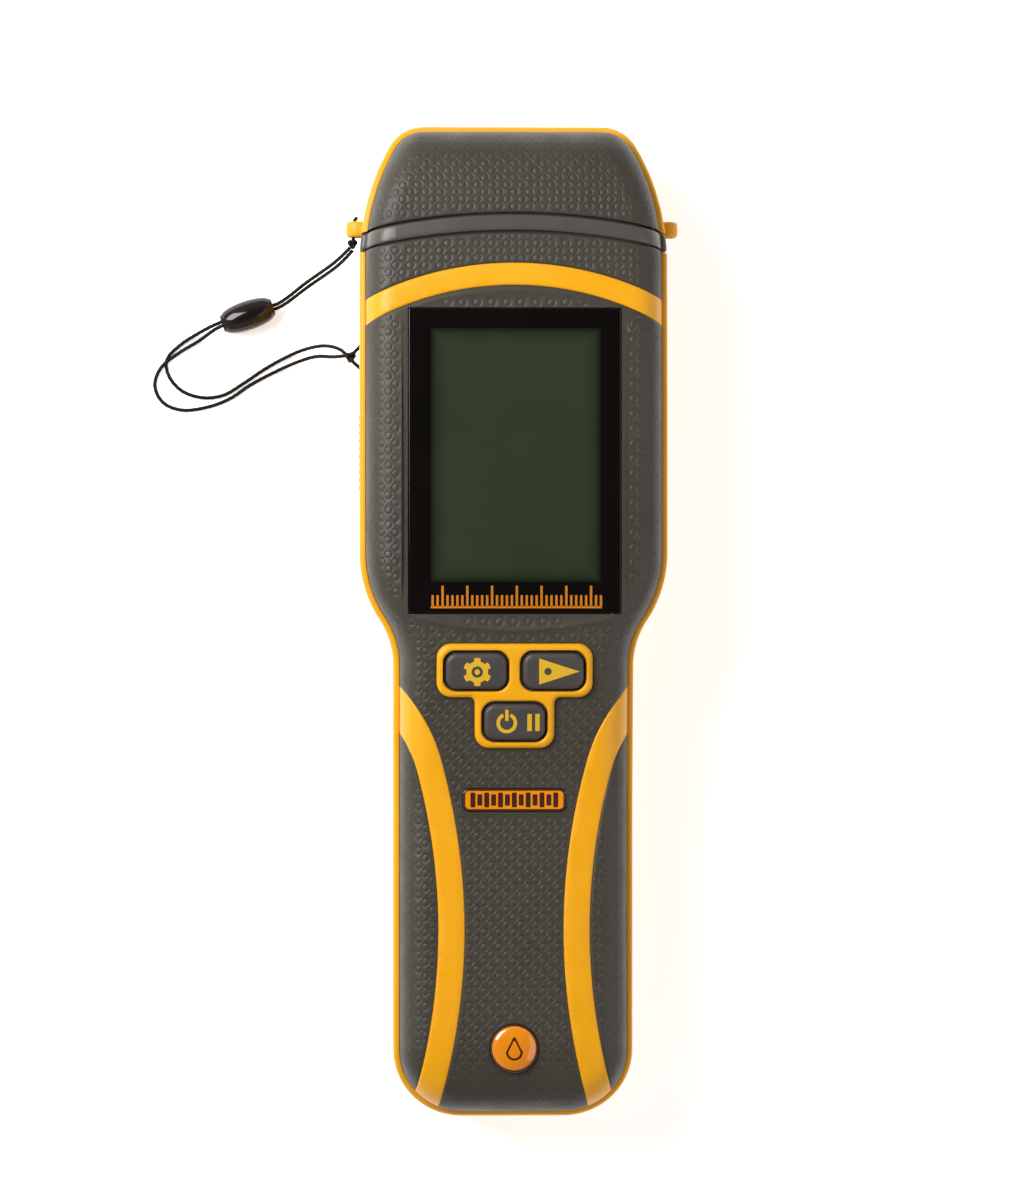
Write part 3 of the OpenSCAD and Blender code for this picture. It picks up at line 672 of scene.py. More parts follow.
# One cord: from the cap's lug through the bead, round the bar in the case's side, and back
CORD_ROUTE = [
    (-33.5, 76.9, 17.9), (-36.75, 74.2, 13.1), (-42.43, 70.6, 6.8),
    strand(7.4, 1), strand(2.7, 1), strand(-2, 1), strand(-6.7, 1),
    (-65.4, 60.1, 1.2), (-69, 57.8, 0.4), (-71.7, 54.9, 0.4),
    (-71.4, 51.4, 0.4), (-68.6, 48.2, 0.4), (-64.2, 46.8, 0.4), (-59.8, 47.4, 0.4),
    (-55.6, 49.9, 0.4), (-51.6, 52.6, 0.4), (-47.4, 55, 0.6), (-43, 56.8, 2.4),
    (-38.8, 57.4, 6.4), (-35.4, 56.4, 10.4), (-33, 54, 12.6), (-30.6, 52.3, 12.8),
    (-28.5, 54.8, 12.4), (-30.6, 57.3, 12), (-33, 55.5, 11.6), (-36.4, 55, 9),
    (-40.6, 55.2, 5), (-45, 54, 1.8), (-49.8, 51.9, 0.4), (-54.4, 49.4, 0.4),
    (-58.6, 46.6, 0.4), (-63.4, 44.8, 0.4), (-68.6, 44.2, 0.4), (-72.6, 45.8, 0.4),
    (-74.3, 49.4, 0.4), (-72.9, 53.2, 0.4), (-69.2, 56.2, 0.4), (-65, 58.7, 1),
    strand(-6.7, -1), strand(-2, -1), strand(2.7, -1), strand(7.4, -1),
    (-41.97, 69.8, 6.8), (-36.25, 73.4, 13.1), (-32.9, 76.4, 17.5)]


def spline(points, per_span):
    """Smooth points through the route, per_span to each span."""
    p = np.array(points, float)
    ends = np.concatenate([p[:1], p, p[-1:]])
    out = []
    for i in range(len(p) - 1):
        a, b, c, d = ends[i:i + 4]
        for t in np.arange(per_span) / per_span:
            out.append(0.5 * (2 * b + (c - a) * t + (2 * a - 5 * b + 4 * c - d) * t * t
                              + (3 * b - a - 3 * c + d) * t ** 3))
    out.append(p[-1])
    return np.array(out)


def tube(line, radius, sides, twist, swell, lobes):
    """A closed tube along a line; swell raises lobes that turn round it like twisted strands."""
    line = np.asarray(line, float)
    heading = np.gradient(line, axis=0)
    heading /= np.linalg.norm(heading, axis=1)[:, None]
    normal = np.zeros_like(line)
    first = np.cross(heading[0], [0, 0, 1])
    normal[0] = first / np.linalg.norm(first)
    for i in range(1, len(line)):
        n = normal[i - 1] - heading[i] * (normal[i - 1] @ heading[i])
        normal[i] = n / np.linalg.norm(n)
    side = np.cross(heading, normal)
    along = np.concatenate([[0], np.cumsum(np.linalg.norm(np.diff(line, axis=0), axis=1))])
    a = np.linspace(0, 2 * math.pi, sides, endpoint=False)
    r = radius * (1 + swell * np.cos(lobes * (a[None, :] + twist * along[:, None])))
    rings = (line[:, None, :] + r[..., None] * (normal[:, None, :] * np.cos(a)[None, :, None]
                                               + side[:, None, :] * np.sin(a)[None, :, None]))
    ends = [list(reversed(range(sides))), [(len(line) - 1) * sides + k for k in range(sides)]]
    return rings.reshape(-1, 3), quads(len(line), sides, round_rows=False) + ends


def cord_tube(line):
    """The cord's own section, three strands turned round each other, along a line."""
    return tube(line, CORD_D / 2, 12, twist=1.6, swell=0.07, lobes=3)


cord_line = spline(CORD_ROUTE, 14)
cord = piece("lanyard_cord", cord_tube(cord_line), None, "cord", "tether_cord", smooth=60)

# ---- lines on the front
SEAM_GAP = 0.25
EDGE_ROUND = 0.35
EDGE_DROP = 0.26
EDGE_ROWS = (0.0, 0.12, EDGE_ROUND)
BOTH_ROWS = (0.0, -0.12, 0.12, -EDGE_ROUND, EDGE_ROUND)
SHOULDER_ROWS = (RIM, 1.33, 1.4, 1.52, 1.7, 1.95, 2.3, 2.75, 3.3, 4.0, 4.9, 6.0, 7.5)


def flank_in(y):
    """Distance from the middle line to the inner edge of a flank band."""
    y = np.asarray(y, float)
    return FLANK_X + (y - FLANK_Y) ** 2 / FLANK_BOW_IN + 3.0 * np.maximum(0, (y + 28) / 14) ** 2.2


def flank_out(y):
    y = np.asarray(y, float)
    return FLANK_X + FLANK_W + (y - FLANK_Y) ** 2 / FLANK_BOW_OUT + 1.8 * np.maximum(0, (y + 30) / 9) ** 2


def flank_distance(p, edge):
    slope = (edge(p[:, 1] + 0.1) - edge(p[:, 1] - 0.1)) / 0.2
    far = np.where(p[:, 1] < -3, np.abs(np.abs(p[:, 0]) - edge(p[:, 1])), 99.0)
    return far / np.sqrt(1 + slope ** 2)


def flank_line(edge, offset, side):
    y = np.arange(-101, -10, 0.8)
    x = edge(y)
    slope = np.gradient(x, y)
    n = np.sqrt(1 + slope ** 2)
    return np.column_stack([side * (x + offset / n), y - offset * slope / n])


def circle_distance(p, cx, cy, r):
    return np.abs(np.hypot(p[:, 0] - cx, p[:, 1] - cy) - r)


def rounded_rect(cx, cy, w, h, r, step=0.5):
    """Closed points round a rectangle with rounded corners."""
    x, y = w / 2 - r, h / 2 - r
    runs = []
    for k, (mx, my) in enumerate(((x, y), (-x, y), (-x, -y), (x, -y))):
        runs.append(arc(cx + mx, cy + my, r, k * math.pi / 2, (k + 1) * math.pi / 2, step))
    out = []
    for i, run in enumerate(runs):
        out.append(run)
        out.append(straight(run[-1], runs[(i + 1) % 4][0], 1.0)[1:-1])
    return np.concatenate(out)


# The keypad's surround: a wide block of two keys over a narrow block of one
PAD_TOP, PAD_STEP, PAD_FOOT = 10.7, -0.3, -10.7
PAD_WIDE, PAD_NARROW = 15.8, 8.1
PAD_R, PAD_INNER_R = 3.0, 1.2


def surround_outline(grow=0.0, step=0.4):
    """The surround's outline in the keypad's own plane, clockwise, moved out by grow."""
    r, ri = PAD_R + grow, max(PAD_INNER_R - grow, 0.2)
    wide, narrow = PAD_WIDE + grow, PAD_NARROW + grow
    top, mid, foot = PAD_TOP + grow, PAD_STEP - grow, PAD_FOOT - grow
    half = joined(
        straight((0, top), (wide - r, top), 1.0),
        arc(wide - r, top - r, r, math.pi / 2, 0, step),
        straight((wide, top - r), (wide, mid + r), 1.0),
        arc(wide - r, mid + r, r, 0, -math.pi / 2, step),
        straight((wide - r, mid), (narrow + ri, mid), 1.0),
        arc(narrow + ri, mid - ri, ri, math.pi / 2, math.pi, step),
        straight((narrow, mid - ri), (narrow, foot + r), 1.0),
        arc(narrow - r, foot + r, r, 0, -math.pi / 2, step),
        straight((narrow - r, foot), (0, foot), 1.0))
    return np.concatenate([half[:-1], half[::-1][:-1] * [-1, 1]])


def on_case(p):
    """Keypad plane to plan coordinates."""
    return np.column_stack([p[:, 0], KEYPAD_Y + p[:, 1] * math.cos(KEYPAD_TILT)])


def inside_line(points, line):
    n = len(line)
    return in_polygons(points, line, [(i, (i + 1) % n) for i in range(n)])


FIT = 0.12
PAD_HOLE = on_case(surround_outline(FIT))
BADGE_HOLE = rounded_rect(BADGE[0], BADGE[1], BADGE[2] + 2 * FIT, BADGE[3] + 2 * FIT, 1.3)
WINDOW_HOLE = rounded_rect(0, (WINDOW[2] + WINDOW[3]) / 2, WINDOW[1] - WINDOW[0] + 2 * FIT,
                           WINDOW[3] - WINDOW[2] + 2 * FIT, 0.3)
ROUNDEL_HOLE = round_loop(ROUNDEL[0], ROUNDEL[1], ROUNDEL[2] + FIT, 0.5)
HOLES = (PAD_HOLE, BADGE_HOLE, WINDOW_HOLE, ROUNDEL_HOLE)
SEAMS = (CASE_SEAM_Y - SEAM_GAP, CASE_SEAM_Y + SEAM_GAP, CAP_SEAM_Y - SEAM_GAP, CAP_SEAM_Y + SEAM_GAP)
# Arcs where the flat round the window leaves the crowned face
FLAT_ARCS = ((0.0, 77.1, 78.5, -1), (0.0, 0.6, 66.0, 1))
LIP_X = 21.6
LIP_OUT = 0.3
LIP_HALF = 0.7
LIP_RISE = 0.14


def border_distance(p):
    """Distance from plan points to the nearest edge between two regions of the front."""
    cx, cy, outer, inner = BROW
    near = np.minimum(circle_distance(p, cx, cy, outer), circle_distance(p, cx, cy, inner))
    near = np.where(p[:, 1] > 40, near, 99.0)
    for edge in (flank_in, flank_out):
        near = np.minimum(near, flank_distance(p, edge))
    for top in SEAMS:
        seam = np.where(p[:, 1] > 60, circle_distance(p, 0, top - SEAM_R, SEAM_R), 99.0)
        near = np.minimum(near, seam)
    return near


def hole_distance(p):
    near = np.full(len(p), 99.0)
    for hole in HOLES:
        near = np.minimum(near, to_line(p, hole))
    return near


def in_brow(p):
    r = np.hypot(p[:, 0] - BROW[0], p[:, 1] - BROW[1])
    return (r < BROW[2]) & (r > BROW[3]) & (p[:, 1] > 40)


def in_flank(p):
    x = np.abs(p[:, 0])
    return (x > flank_in(p[:, 1])) & (x < flank_out(p[:, 1])) & (p[:, 1] < -8)


def flat_step(p):
    """True where the face is cut down to the flat round the window."""
    return (np.abs(p[:, 0]) < PLATEAU_X) & (p[:, 1] > -4) & (p[:, 1] < 69)


def lip_distance(p):
    """Distance from plan points to the middle of the low lip round the window's flat."""
    near = np.full(len(p), 99.0)
    for cx, cy, r, up in FLAT_ARCS:
        on = (up * (p[:, 1] - cy) > 0) & (np.abs(p[:, 0]) < LIP_X)
        near = np.where(on, np.minimum(near, circle_distance(p, cx, cy, r + LIP_OUT)), near)
    return near


def ring_grid(columns, rows):
    """Centres of rings on a square grid, with one more ring in the middle of each square."""
    grid = lattice(columns, rows) * RING_PITCH
    return np.concatenate([grid, grid + RING_PITCH / 2])


def ring_centres():
    """Centres of the front's rings, clear of every edge, band, hole and step."""
    centres = ring_grid(np.arange(-12, 13), np.arange(-36, 36))
    centres = centres[inside_line(centres, EDGE)]
    x, y = centres.T
    keep = (depth_inside(centres) > 2.3) & (border_distance(centres) > 0.45)
    keep &= (hole_distance(centres) > 0.5) & (lip_distance(centres) > 0.9)
    keep &= ~in_brow(centres) & ~in_flank(centres)
    for hole in HOLES:
        keep &= ~inside_line(centres, hole)
    on_step = (np.abs(x) > WINDOW[1]) & (np.abs(np.abs(x) - PLATEAU_X) < 1.1)
    keep &= ~(on_step & (y > 0) & (y < 66))
    keep &= (y < seam_y(x, SEAMS[0])) | (y > seam_y(x, SEAMS[3]))
    return centres[keep]


def ring_cells(centres):
    """The half-pitch cells that hold a ring."""
    return {(round(x * 2 / RING_PITCH), round(y * 2 / RING_PITCH)) for x, y in centres}


def ring_points(centres, counts):
    """Mesh points on the two edges and the bottom of each ring's groove, and in its middle."""
    parts = []
    for r, n in zip((RING_MID + RING_HALF, RING_MID, RING_MID - RING_HALF), counts):
        a = np.arange(n) * 2 * math.pi / n
        wheel = np.column_stack([np.cos(a), np.sin(a)]) * r
        parts.append((centres[:, None, :] + wheel[None]).reshape(-1, 2))
    return np.concatenate(parts + [centres])


def ring_relief(p, cells):
    """Depth of the rings' shallow round grooves at plan points."""
    half = RING_PITCH / 2
    best = np.full(len(p), 9.0)
    for parity in (0, 1):
        cell = np.round((p / half - parity) / 2).astype(int) * 2 + parity
        r = np.hypot(*(p - cell * half).T)
        active = np.fromiter(((a, b) in cells for a, b in cell), bool, len(cell))
        best = np.where(active, np.minimum(best, r), best)
    return -RING_DEPTH * np.clip(1 - np.abs(best - RING_MID) / RING_HALF, 0, 1)


RINGS = ring_centres()
RING_CELLS = ring_cells(RINGS)


def seam_arc(top, offset=0.0):
    return arc(0, top - SEAM_R, SEAM_R + offset, math.radians(75), math.radians(105), 0.8)


def front_lines():
    """Every line that the front's mesh keeps, each with whether it is closed."""
    cx, cy, outer, inner = BROW
    lines = [(outline(d), True) for d in SHOULDER_ROWS]
    for r in (outer, inner):
        for row in BOTH_ROWS:
            lines.append((arc(cx, cy, r + row, math.radians(25), math.radians(155), 0.8), False))
    for edge in (flank_in, flank_out):
        for row in BOTH_ROWS:
            for side in (-1, 1):
                lines.append((flank_line(edge, row, side), False))
    for top, inward in zip(SEAMS, (-1, 1, -1, 1)):
        for row in EDGE_ROWS:
            lines.append((seam_arc(top, inward * row), False))
    lines += [(hole, True) for hole in HOLES]
    for x in (PLATEAU_X - 0.04, PLATEAU_X + 0.04):
        for side in (-1, 1):
            lines.append((straight((side * x, -0.5), (side * x, 65.0), 1.0), False))
    for cx, cy, r, up in FLAT_ARCS:
        for row in (-LIP_HALF, -0.35, 0.0, 0.35, LIP_HALF):
            ring = r + LIP_OUT + row
            middle, half = up * math.pi / 2, math.asin(LIP_X / ring)
            lines.append((arc(cx, cy, ring, middle - half, middle + half, 0.8), False))
    return lines


def front_loose():
    """Points of the rings and between them, and a plain grid on the smooth regions."""
    half = RING_PITCH / 2
    grid = lattice(np.arange(-33, 33.1, half), np.arange(-102, 102.1, half))
    i, j = np.round(grid / half).astype(int).T
    between = (i + j) % 2 == 1
    on_ring = np.fromiter(((a, b) in RING_CELLS for a, b in zip(i, j)), bool, len(i))
    grid = grid[between | ~on_ring]
    points = np.concatenate([ring_points(RINGS, (14, 14, 10)), grid[inside_line(grid, EDGE)]])
    free = (depth_inside(points) > 1.8) & (border_distance(points) > 0.42)
    free &= (hole_distance(points) > 0.25) & (np.abs(lip_distance(points) - LIP_HALF) > 0.12)
    return points[free]


def edged(p, z):
    """Rounds the surface down at the edges between regions."""
    near = np.clip(border_distance(p) / EDGE_ROUND, 0, 1)
    return z - EDGE_DROP * (1 - near) ** 2


def grip_top(p):
    z = front_z(p)
    z = np.where(flat_step(p), np.minimum(z, PLATEAU_Z), z)
    z = z + LIP_RISE * ease(LIP_HALF, 0, lip_distance(p)) * ease(LIP_X, LIP_X - 3, np.abs(p[:, 0]))
    return edged(p, z) + ring_relief(p, RING_CELLS)


def band_top(p):
    return edged(p, front_z(p))


def under_by(depth):
    def low(p):
        z = front_z(p) - depth
        return np.where(flat_step(p), np.minimum(z, PLATEAU_Z - depth), z)
    return low


def make_front():
    """The grip's two skins and the yellow bands, lifted from one triangulated plan."""
    sheet = Sheet(front_lines(), front_loose())
    m = sheet.middle
    on_face = inside_line(m, EDGE) & (depth_inside(m) > RIM)
    case = on_face & (m[:, 1] < seam_y(m[:, 0], SEAMS[0]))
    cap = on_face & (m[:, 1] > seam_y(m[:, 0], SEAMS[3]))
    band = case & (in_brow(m) | in_flank(m))
    grip = case & ~band
    for hole in HOLES:
        grip &= ~inside_line(m, hole)
    grip_low, band_low = under_by(1.3), under_by(1.35)
    piece("front_grip_skin", sheet.lift(grip, grip_top, grip_low), "case", "grip", "front_grip")
    piece("cap_grip_skin", sheet.lift(cap, grip_top, grip_low), "cap", "grip", "cap_grip")
    piece("front_bands", sheet.lift(band, band_top, band_low), "case", "yellow", "front_shell")


make_front()

# ---- more mesh helpers
def offset_loop(loop, inward):
    """A closed clockwise or anticlockwise loop moved inwards, keeping its point count."""
    before, after = np.roll(loop, 1, 0), np.roll(loop, -1, 0)
    a = loop - before
    b = after - loop
    a /= np.maximum(np.linalg.norm(a, axis=1), 1e-9)[:, None]
    b /= np.maximum(np.linalg.norm(b, axis=1), 1e-9)[:, None]
    x, y = loop[:, 0], loop[:, 1]
    turn = 1 if (x * np.roll(y, -1) - np.roll(x, -1) * y).sum() > 0 else -1
    na, nb = np.column_stack([-a[:, 1], a[:, 0]]), np.column_stack([-b[:, 1], b[:, 0]])
    mean = na + nb
    mean /= np.maximum((mean * mean).sum(1) / 2, 0.5)[:, None]
    return loop + mean * turn * inward


def filled(loops, loose):
    """Points and triangles between an outer loop and holes, with loose points inside."""
    edges, base = [], 0
    for loop in loops:
        n = len(loop)
        edges += [(base + i, base + (i + 1) % n) for i in range(n)]
        base += n
    given = np.concatenate([*loops, loose])
    points, tris = triangulate(given, edges)
    return points, tris[in_polygons(points[tris].mean(1), given, edges)]


def slab(outer, holes=(), outer_rows=((0, 0),), hole_rows=((0, 0),), top=flat(0), low=-1.0, loose=()):
    """A plate in its own plane: edge rows of (inset, drop below the top) round it and its holes."""
    points, faces, loops, base = [], [], [], 0
    for loop, rows, sign in [(outer, outer_rows, 1)] + [(hole, hole_rows, -1) for hole in holes]:
        n = len(loop)
        rings = [(offset_loop(loop, sign * inset), drop) for inset, drop in rows]
        foot = rings[0][0]
        points.append(np.column_stack([foot, flat(low)(foot)]))
        for ring, drop in rings:
            points.append(np.column_stack([ring, top(ring) - drop]))
        faces += shifted(quads(len(rings) + 1, n, round_rows=False), base)
        loops.append(((rings[-1][0], base + len(rings) * n), (foot, base)))
        base += (len(rings) + 1) * n
    loose = np.asarray(loose, float).reshape(-1, 2)
    for side, height, extra in ((0, top, loose), (1, flat(low), loose[:0])):
        net, tris = filled([pair[side][0] for pair in loops], extra)
        index = []
        for pair in loops:
            loop, first = pair[side]
            index += range(first, first + len(loop))
        fresh = net[len(index):]
        if len(fresh):
            points.append(np.column_stack([fresh, height(fresh)]))
            index += range(base, base + len(fresh))
            base += len(fresh)
        faces += [tuple(index[v] for v in t) for t in tris]
    return np.concatenate(points), faces


def moved(solid, change):
    points, faces = solid
    return change(np.asarray(points, float)), faces


def grid_in(loop, step, margin=0.4):
    """A grid inside a loop, clear of it by a margin."""
    lo, hi = loop.min(0) + step / 2, loop.max(0)
    grid = lattice(np.arange(lo[0], hi[0], step), np.arange(lo[1], hi[1], step))
    grid = grid[inside_line(grid, loop)]
    return grid[to_line(grid, loop) > margin]


def cut(obj, solids):
    """Takes solids, in millimetres, out of a piece."""
    tools = []
    for solid in solids:
        mesh = new_mesh("cutter", solid)
        with edited(mesh) as bm:
            bmesh.ops.recalc_face_normals(bm, faces=bm.faces)
        tool = new_object("cutter", mesh)
        tools.append(tool)
        mod = obj.modifiers.new("cut", "BOOLEAN")
        mod.operation = "DIFFERENCE"
        mod.solver = "EXACT"
        mod.object = tool
    bpy.context.view_layer.update()
    graph = bpy.context.evaluated_depsgraph_get()
    old, obj.data = obj.data, bpy.data.meshes.new_from_object(obj.evaluated_get(graph))
    obj.modifiers.clear()
    bpy.data.meshes.remove(old)
    for tool in tools:
        bpy.data.objects.remove(tool)
    shade(obj, 35)


def block(lo, hi, r=0.4):
    """A box with its upright edges rounded."""
    loop = rounded_rect((lo[0] + hi[0]) / 2, (lo[1] + hi[1]) / 2, hi[0] - lo[0], hi[1] - lo[1], r, 0.3)
    return slab(loop, top=flat(hi[2]), low=lo[2])


def rod(cx, cy, z0, z1, r, n=40):
    """A plain round bar along z."""
    a = np.arange(n) * 2 * math.pi / n
    loop = np.column_stack([cx + r * np.cos(a), cy + r * np.sin(a)])
    return slab(loop, top=flat(z1), low=z0)


def turn_yz(points):
    """A plate drawn in (y, z) with its thickness along x becomes one in (x, y, z)."""
    return points[:, [2, 0, 1]]


def turn_xz(points):
    """A plate drawn in (x, z) with its thickness along y becomes one in (x, y, z)."""
    return points[:, [0, 2, 1]]


# ---- the yellow rims and the back
REAR_R = 5.2
REAR_RISE = 5.6
REAR_MEET = 1.2
WALL_IN = 2.4


def case_path(inset):
    """From the right end of the case's seam round the handle to its left end."""
    x = HEAD_X - inset
    head = line_n((x, float(seam_y(x, SEAMS[0]))), (x, WAIST_Y), 50)
    shoulder = arc_n(HEAD_X - SHOULDER_R, WAIST_Y, SHOULDER_R - inset, 0, -WAIST_A, 20)
    hollow = arc_n(HANDLE_X + HOLLOW_R, WAIST_END_Y, HOLLOW_R + inset, math.pi - WAIST_A, math.pi, 16)
    handle = line_n((HANDLE_X - inset, WAIST_END_Y), (HANDLE_X - inset, HEEL_Y), 60)
    heel = arc_n(HANDLE_X - HEEL_R, HEEL_Y, HEEL_R - inset, 0, -math.pi / 2, 26)
    foot = line_n((HANDLE_X - HEEL_R, -END_Y + inset), (0, -END_Y + inset), 10)
    half = joined(head, shoulder, hollow, handle, heel, foot)
    return np.concatenate([half, half[::-1][1:] * [-1, 1]])


def cap_path(inset):
    """From the right end of the cap's seam round the cap's end to its left end."""
    r = CAP_SIDE_R - inset
    a = 0.0
    for _ in range(12):
        a = math.asin((float(seam_y(SIDE_X + r * math.cos(a), SEAMS[3])) - CAP_SIDE_Y) / r)
    bow = arc_n(SIDE_X, CAP_SIDE_Y, r, a, JOIN_A, 24)
    corner = arc_n(CORNER_X, CORNER_Y, CAP_CORNER_R - inset, JOIN_A, math.pi / 2, 18)
    top = line_n((CORNER_X, END_Y - inset), (0, END_Y - inset), 20)
    half = joined(bow, corner, top)
    return np.concatenate([half, half[::-1][1:] * [-1, 1]])


def rear_z(d):
    u = 1 - np.clip(np.asarray(d, float) / REAR_R, 0, 1)
    return REAR_RISE * (1 - (1 - u ** 2.3) ** (1 / 2.3))


def below_crown(drop):
    return lambda p: crown(p[:, 1]) - drop


# Rows of (inset, drop below the crown) where the front rolls over into the side
FRONT_ROWS = ((0.0, 9.7), (0.03, 9.35), (0.12, 9.05), (0.3, 8.75), (0.55, 8.58), (0.85, 8.51), (1.2, 8.5),
              (1.31, 8.75), (WALL_IN, 9.3))
FRONT_EDGE = [(d, below_crown(drop)) for d, drop in FRONT_ROWS]
REAR_EDGE = [(d, flat(rear_z(d))) for d in (REAR_MEET, 0.85, 0.55, 0.3, 0.12, 0.03, 0.0)]
# The hidden side of a wall above the rear plate
REAR_INNER = [(WALL_IN, flat(rear_z(REAR_MEET) + 1.2)), (REAR_MEET + 0.2, flat(rear_z(REAR_MEET) + 0.6))]


def make_rims():
    """The yellow walls of the case's two halves and of the cap, with the openings in their sides."""
    split = [(WALL_IN, 0.05), (0.3, 0.05), (0.07, 0.2), (0.0, 0.45)]
    front = [(d, flat(SPLIT_Z + rise)) for d, rise in split] + FRONT_EDGE
    rim = piece("front_rim", swept(case_path, front), "case", "yellow", "front_shell")
    y0, y1, z0, z1 = COVER
    bed = block((-33, y0 - 1.4, z0 - 0.4), (COVER_BED_X, y1 + 0.4, z1 + 0.4), 0.5)
    jacks = [moved(rod(y, JACK_Z, -33, -28, 3.1), turn_yz) for y in JACK_YS]
    cut(rim, [bed] + jacks)
    rear = REAR_EDGE + [(d, flat(SPLIT_Z - fall)) for d, fall in split[::-1]] + REAR_INNER
    wall = piece("rear_rim", swept(case_path, rear), "case", "yellow", "rear_shell")
    y0, y1, z0, z1 = POCKET
    door = block((-DOOR_X - DOOR_GAP, -103, -1), (DOOR_X + DOOR_GAP, -90, 2.05), 0.3)
    cut(wall, [door, block((-33, y0, z0), (-28, y1, z1), 0.8)])
    piece("cap_rim", swept(cap_path, REAR_EDGE + FRONT_EDGE + REAR_INNER), "cap", "yellow", "cap_shell")


DOOR_X, DOOR_Y, DOOR_GAP = 17.4, -36.0, 0.25
PAD_Y0, PAD_Y1, PAD_INSET = -2.0, 60.0, 5.6
SCREWS = ((26, 66), (-26, 66), (10, -96.4), (-10, -96.4))
REAR_ROWS = (REAR_MEET, 1.5, 1.9, 2.4, 3.0, 3.7, 4.5, REAR_R)


def pad_loop(inset):
    """The rear pad's outline: the head's outline moved in, between two straight ends."""
    right = right_side(PAD_INSET + inset, 1.2)
    low, high = PAD_Y0 + inset, PAD_Y1 - inset
    right = right[(right[:, 1] > low) & (right[:, 1] < high)]
    ends = [(float(np.interp(y, right[::-1, 1], right[::-1, 0])), y) for y in (high, low)]
    right = np.array([ends[0], *right.tolist(), ends[1]])
    foot = straight(right[-1], right[-1] * [-1, 1], 1.5)[1:-1]
    top = straight(right[0] * [-1, 1], right[0], 1.5)[1:-1]
    return np.concatenate([right, foot, right[::-1] * [-1, 1], top])


def make_back():
    def bottom(p):
        return rear_z(depth_inside(p))
    door = rounded_rect(0, (DOOR_Y - 106) / 2, 2 * DOOR_X, 106 + DOOR_Y, 0.8)
    door_hole = rounded_rect(0, (DOOR_Y - 106) / 2, 2 * (DOOR_X + DOOR_GAP), 106 + DOOR_Y + 2 * DOOR_GAP, 1.0)
    pad_hole = pad_loop(-0.12)
    circles = [round_loop(x, y, 2.4, 0.5) for x, y in SCREWS[:2]]
    loops = [outline(d) for d in REAR_ROWS] + [door, door_hole, pad_hole, *circles]
    lines = [(loop, True) for loop in loops] + [(seam_arc(top), False) for top in (SEAMS[0], SEAMS[3])]
    loose = grid_in(outline(REAR_R + 0.3), 3.0)
    sheet = Sheet(lines, loose)
    m = sheet.middle
    on_back = inside_line(m, EDGE) & (depth_inside(m) > REAR_MEET)
    case = on_back & (m[:, 1] < seam_y(m[:, 0], SEAMS[0]))
    shell = case & ~inside_line(m, door_hole) & ~inside_line(m, pad_hole)
    for circle in circles:
        shell &= ~inside_line(m, circle)
    cap = on_back & (m[:, 1] > seam_y(m[:, 0], SEAMS[3]))
    piece("rear_plate", sheet.lift(shell, flat(2.5), bottom), "case", "yellow", "rear_shell")
    piece("cap_back", sheet.lift(cap, flat(2.5), bottom), "cap", "yellow", "cap_shell")
    in_door = on_back & inside_line(m, door)
    panel = piece("door_panel", sheet.lift(in_door, flat(1.85), bottom), "door", "yellow", "battery_door")
    grooves = []
    for i in range(5):
        y = DOOR_Y - 8 - i * 2.4
        loop = rounded_rect(0, y, 16 - 1.2 * i, 1.3, 0.62, 0.25)
        grooves.append(slab(loop, top=flat(0.55), low=-1))
    cut(panel, grooves)


def make_rear_pad():
    loop = pad_loop(0.0)
    centres = ring_grid(np.arange(-9, 10), np.arange(0, 21))
    centres = centres[inside_line(centres, loop)]
    centres = centres[to_line(centres, loop) > 1.8]
    cells = ring_cells(centres)
    loose = np.roll(ring_points(centres, (12, 12, 8)), len(centres), 0)
    solid = slab(loop, outer_rows=((0, 0.4), (0.1, 0.12), (0.3, 0.0)), top=lambda p: ring_relief(p, cells),
                 low=-1.15, loose=loose)
    piece("rear_grip_skin", moved(solid, lambda p: p * [1, 1, -1]), "case", "grip", "rear_grip")


def make_case_screws():
    parts = []
    for x, y in SCREWS:
        a = np.arange(48) * 2 * math.pi / 48
        head = np.column_stack([x + 2.2 * np.cos(a), y + 2.2 * np.sin(a)])
        star = 0.95 + 0.28 * np.cos(6 * a)
        socket = np.column_stack([x + star * np.cos(a), y + star * np.sin(a)])
        z = 1.0 if y > 0 else 2.3
        top = slab(head, outer_rows=((0, 0.35), (0.12, 0.1), (0.4, 0.0)), low=-1.6)
        top = moved(top, lambda p, z=z: p * [1, 1, -1] + [0, 0, z])
        cutter = moved(slab(socket, top=flat(0.5), low=-0.9), lambda p, z=z: p * [1, 1, -1] + [0, 0, z])
        parts.append((top, cutter))
    heads = piece("screw_heads", merged(*[t for t, _ in parts]), "case", "steel", "case_screws")
    cut(heads, [merged(*[c for _, c in parts])])


make_rims()
make_back()
make_rear_pad()
make_case_screws()

# ---- the collar, the seams and the cap
BELT_MIDDLE_Z = 20.0
BELT_X = np.arange(0, 24.1, 1.5)


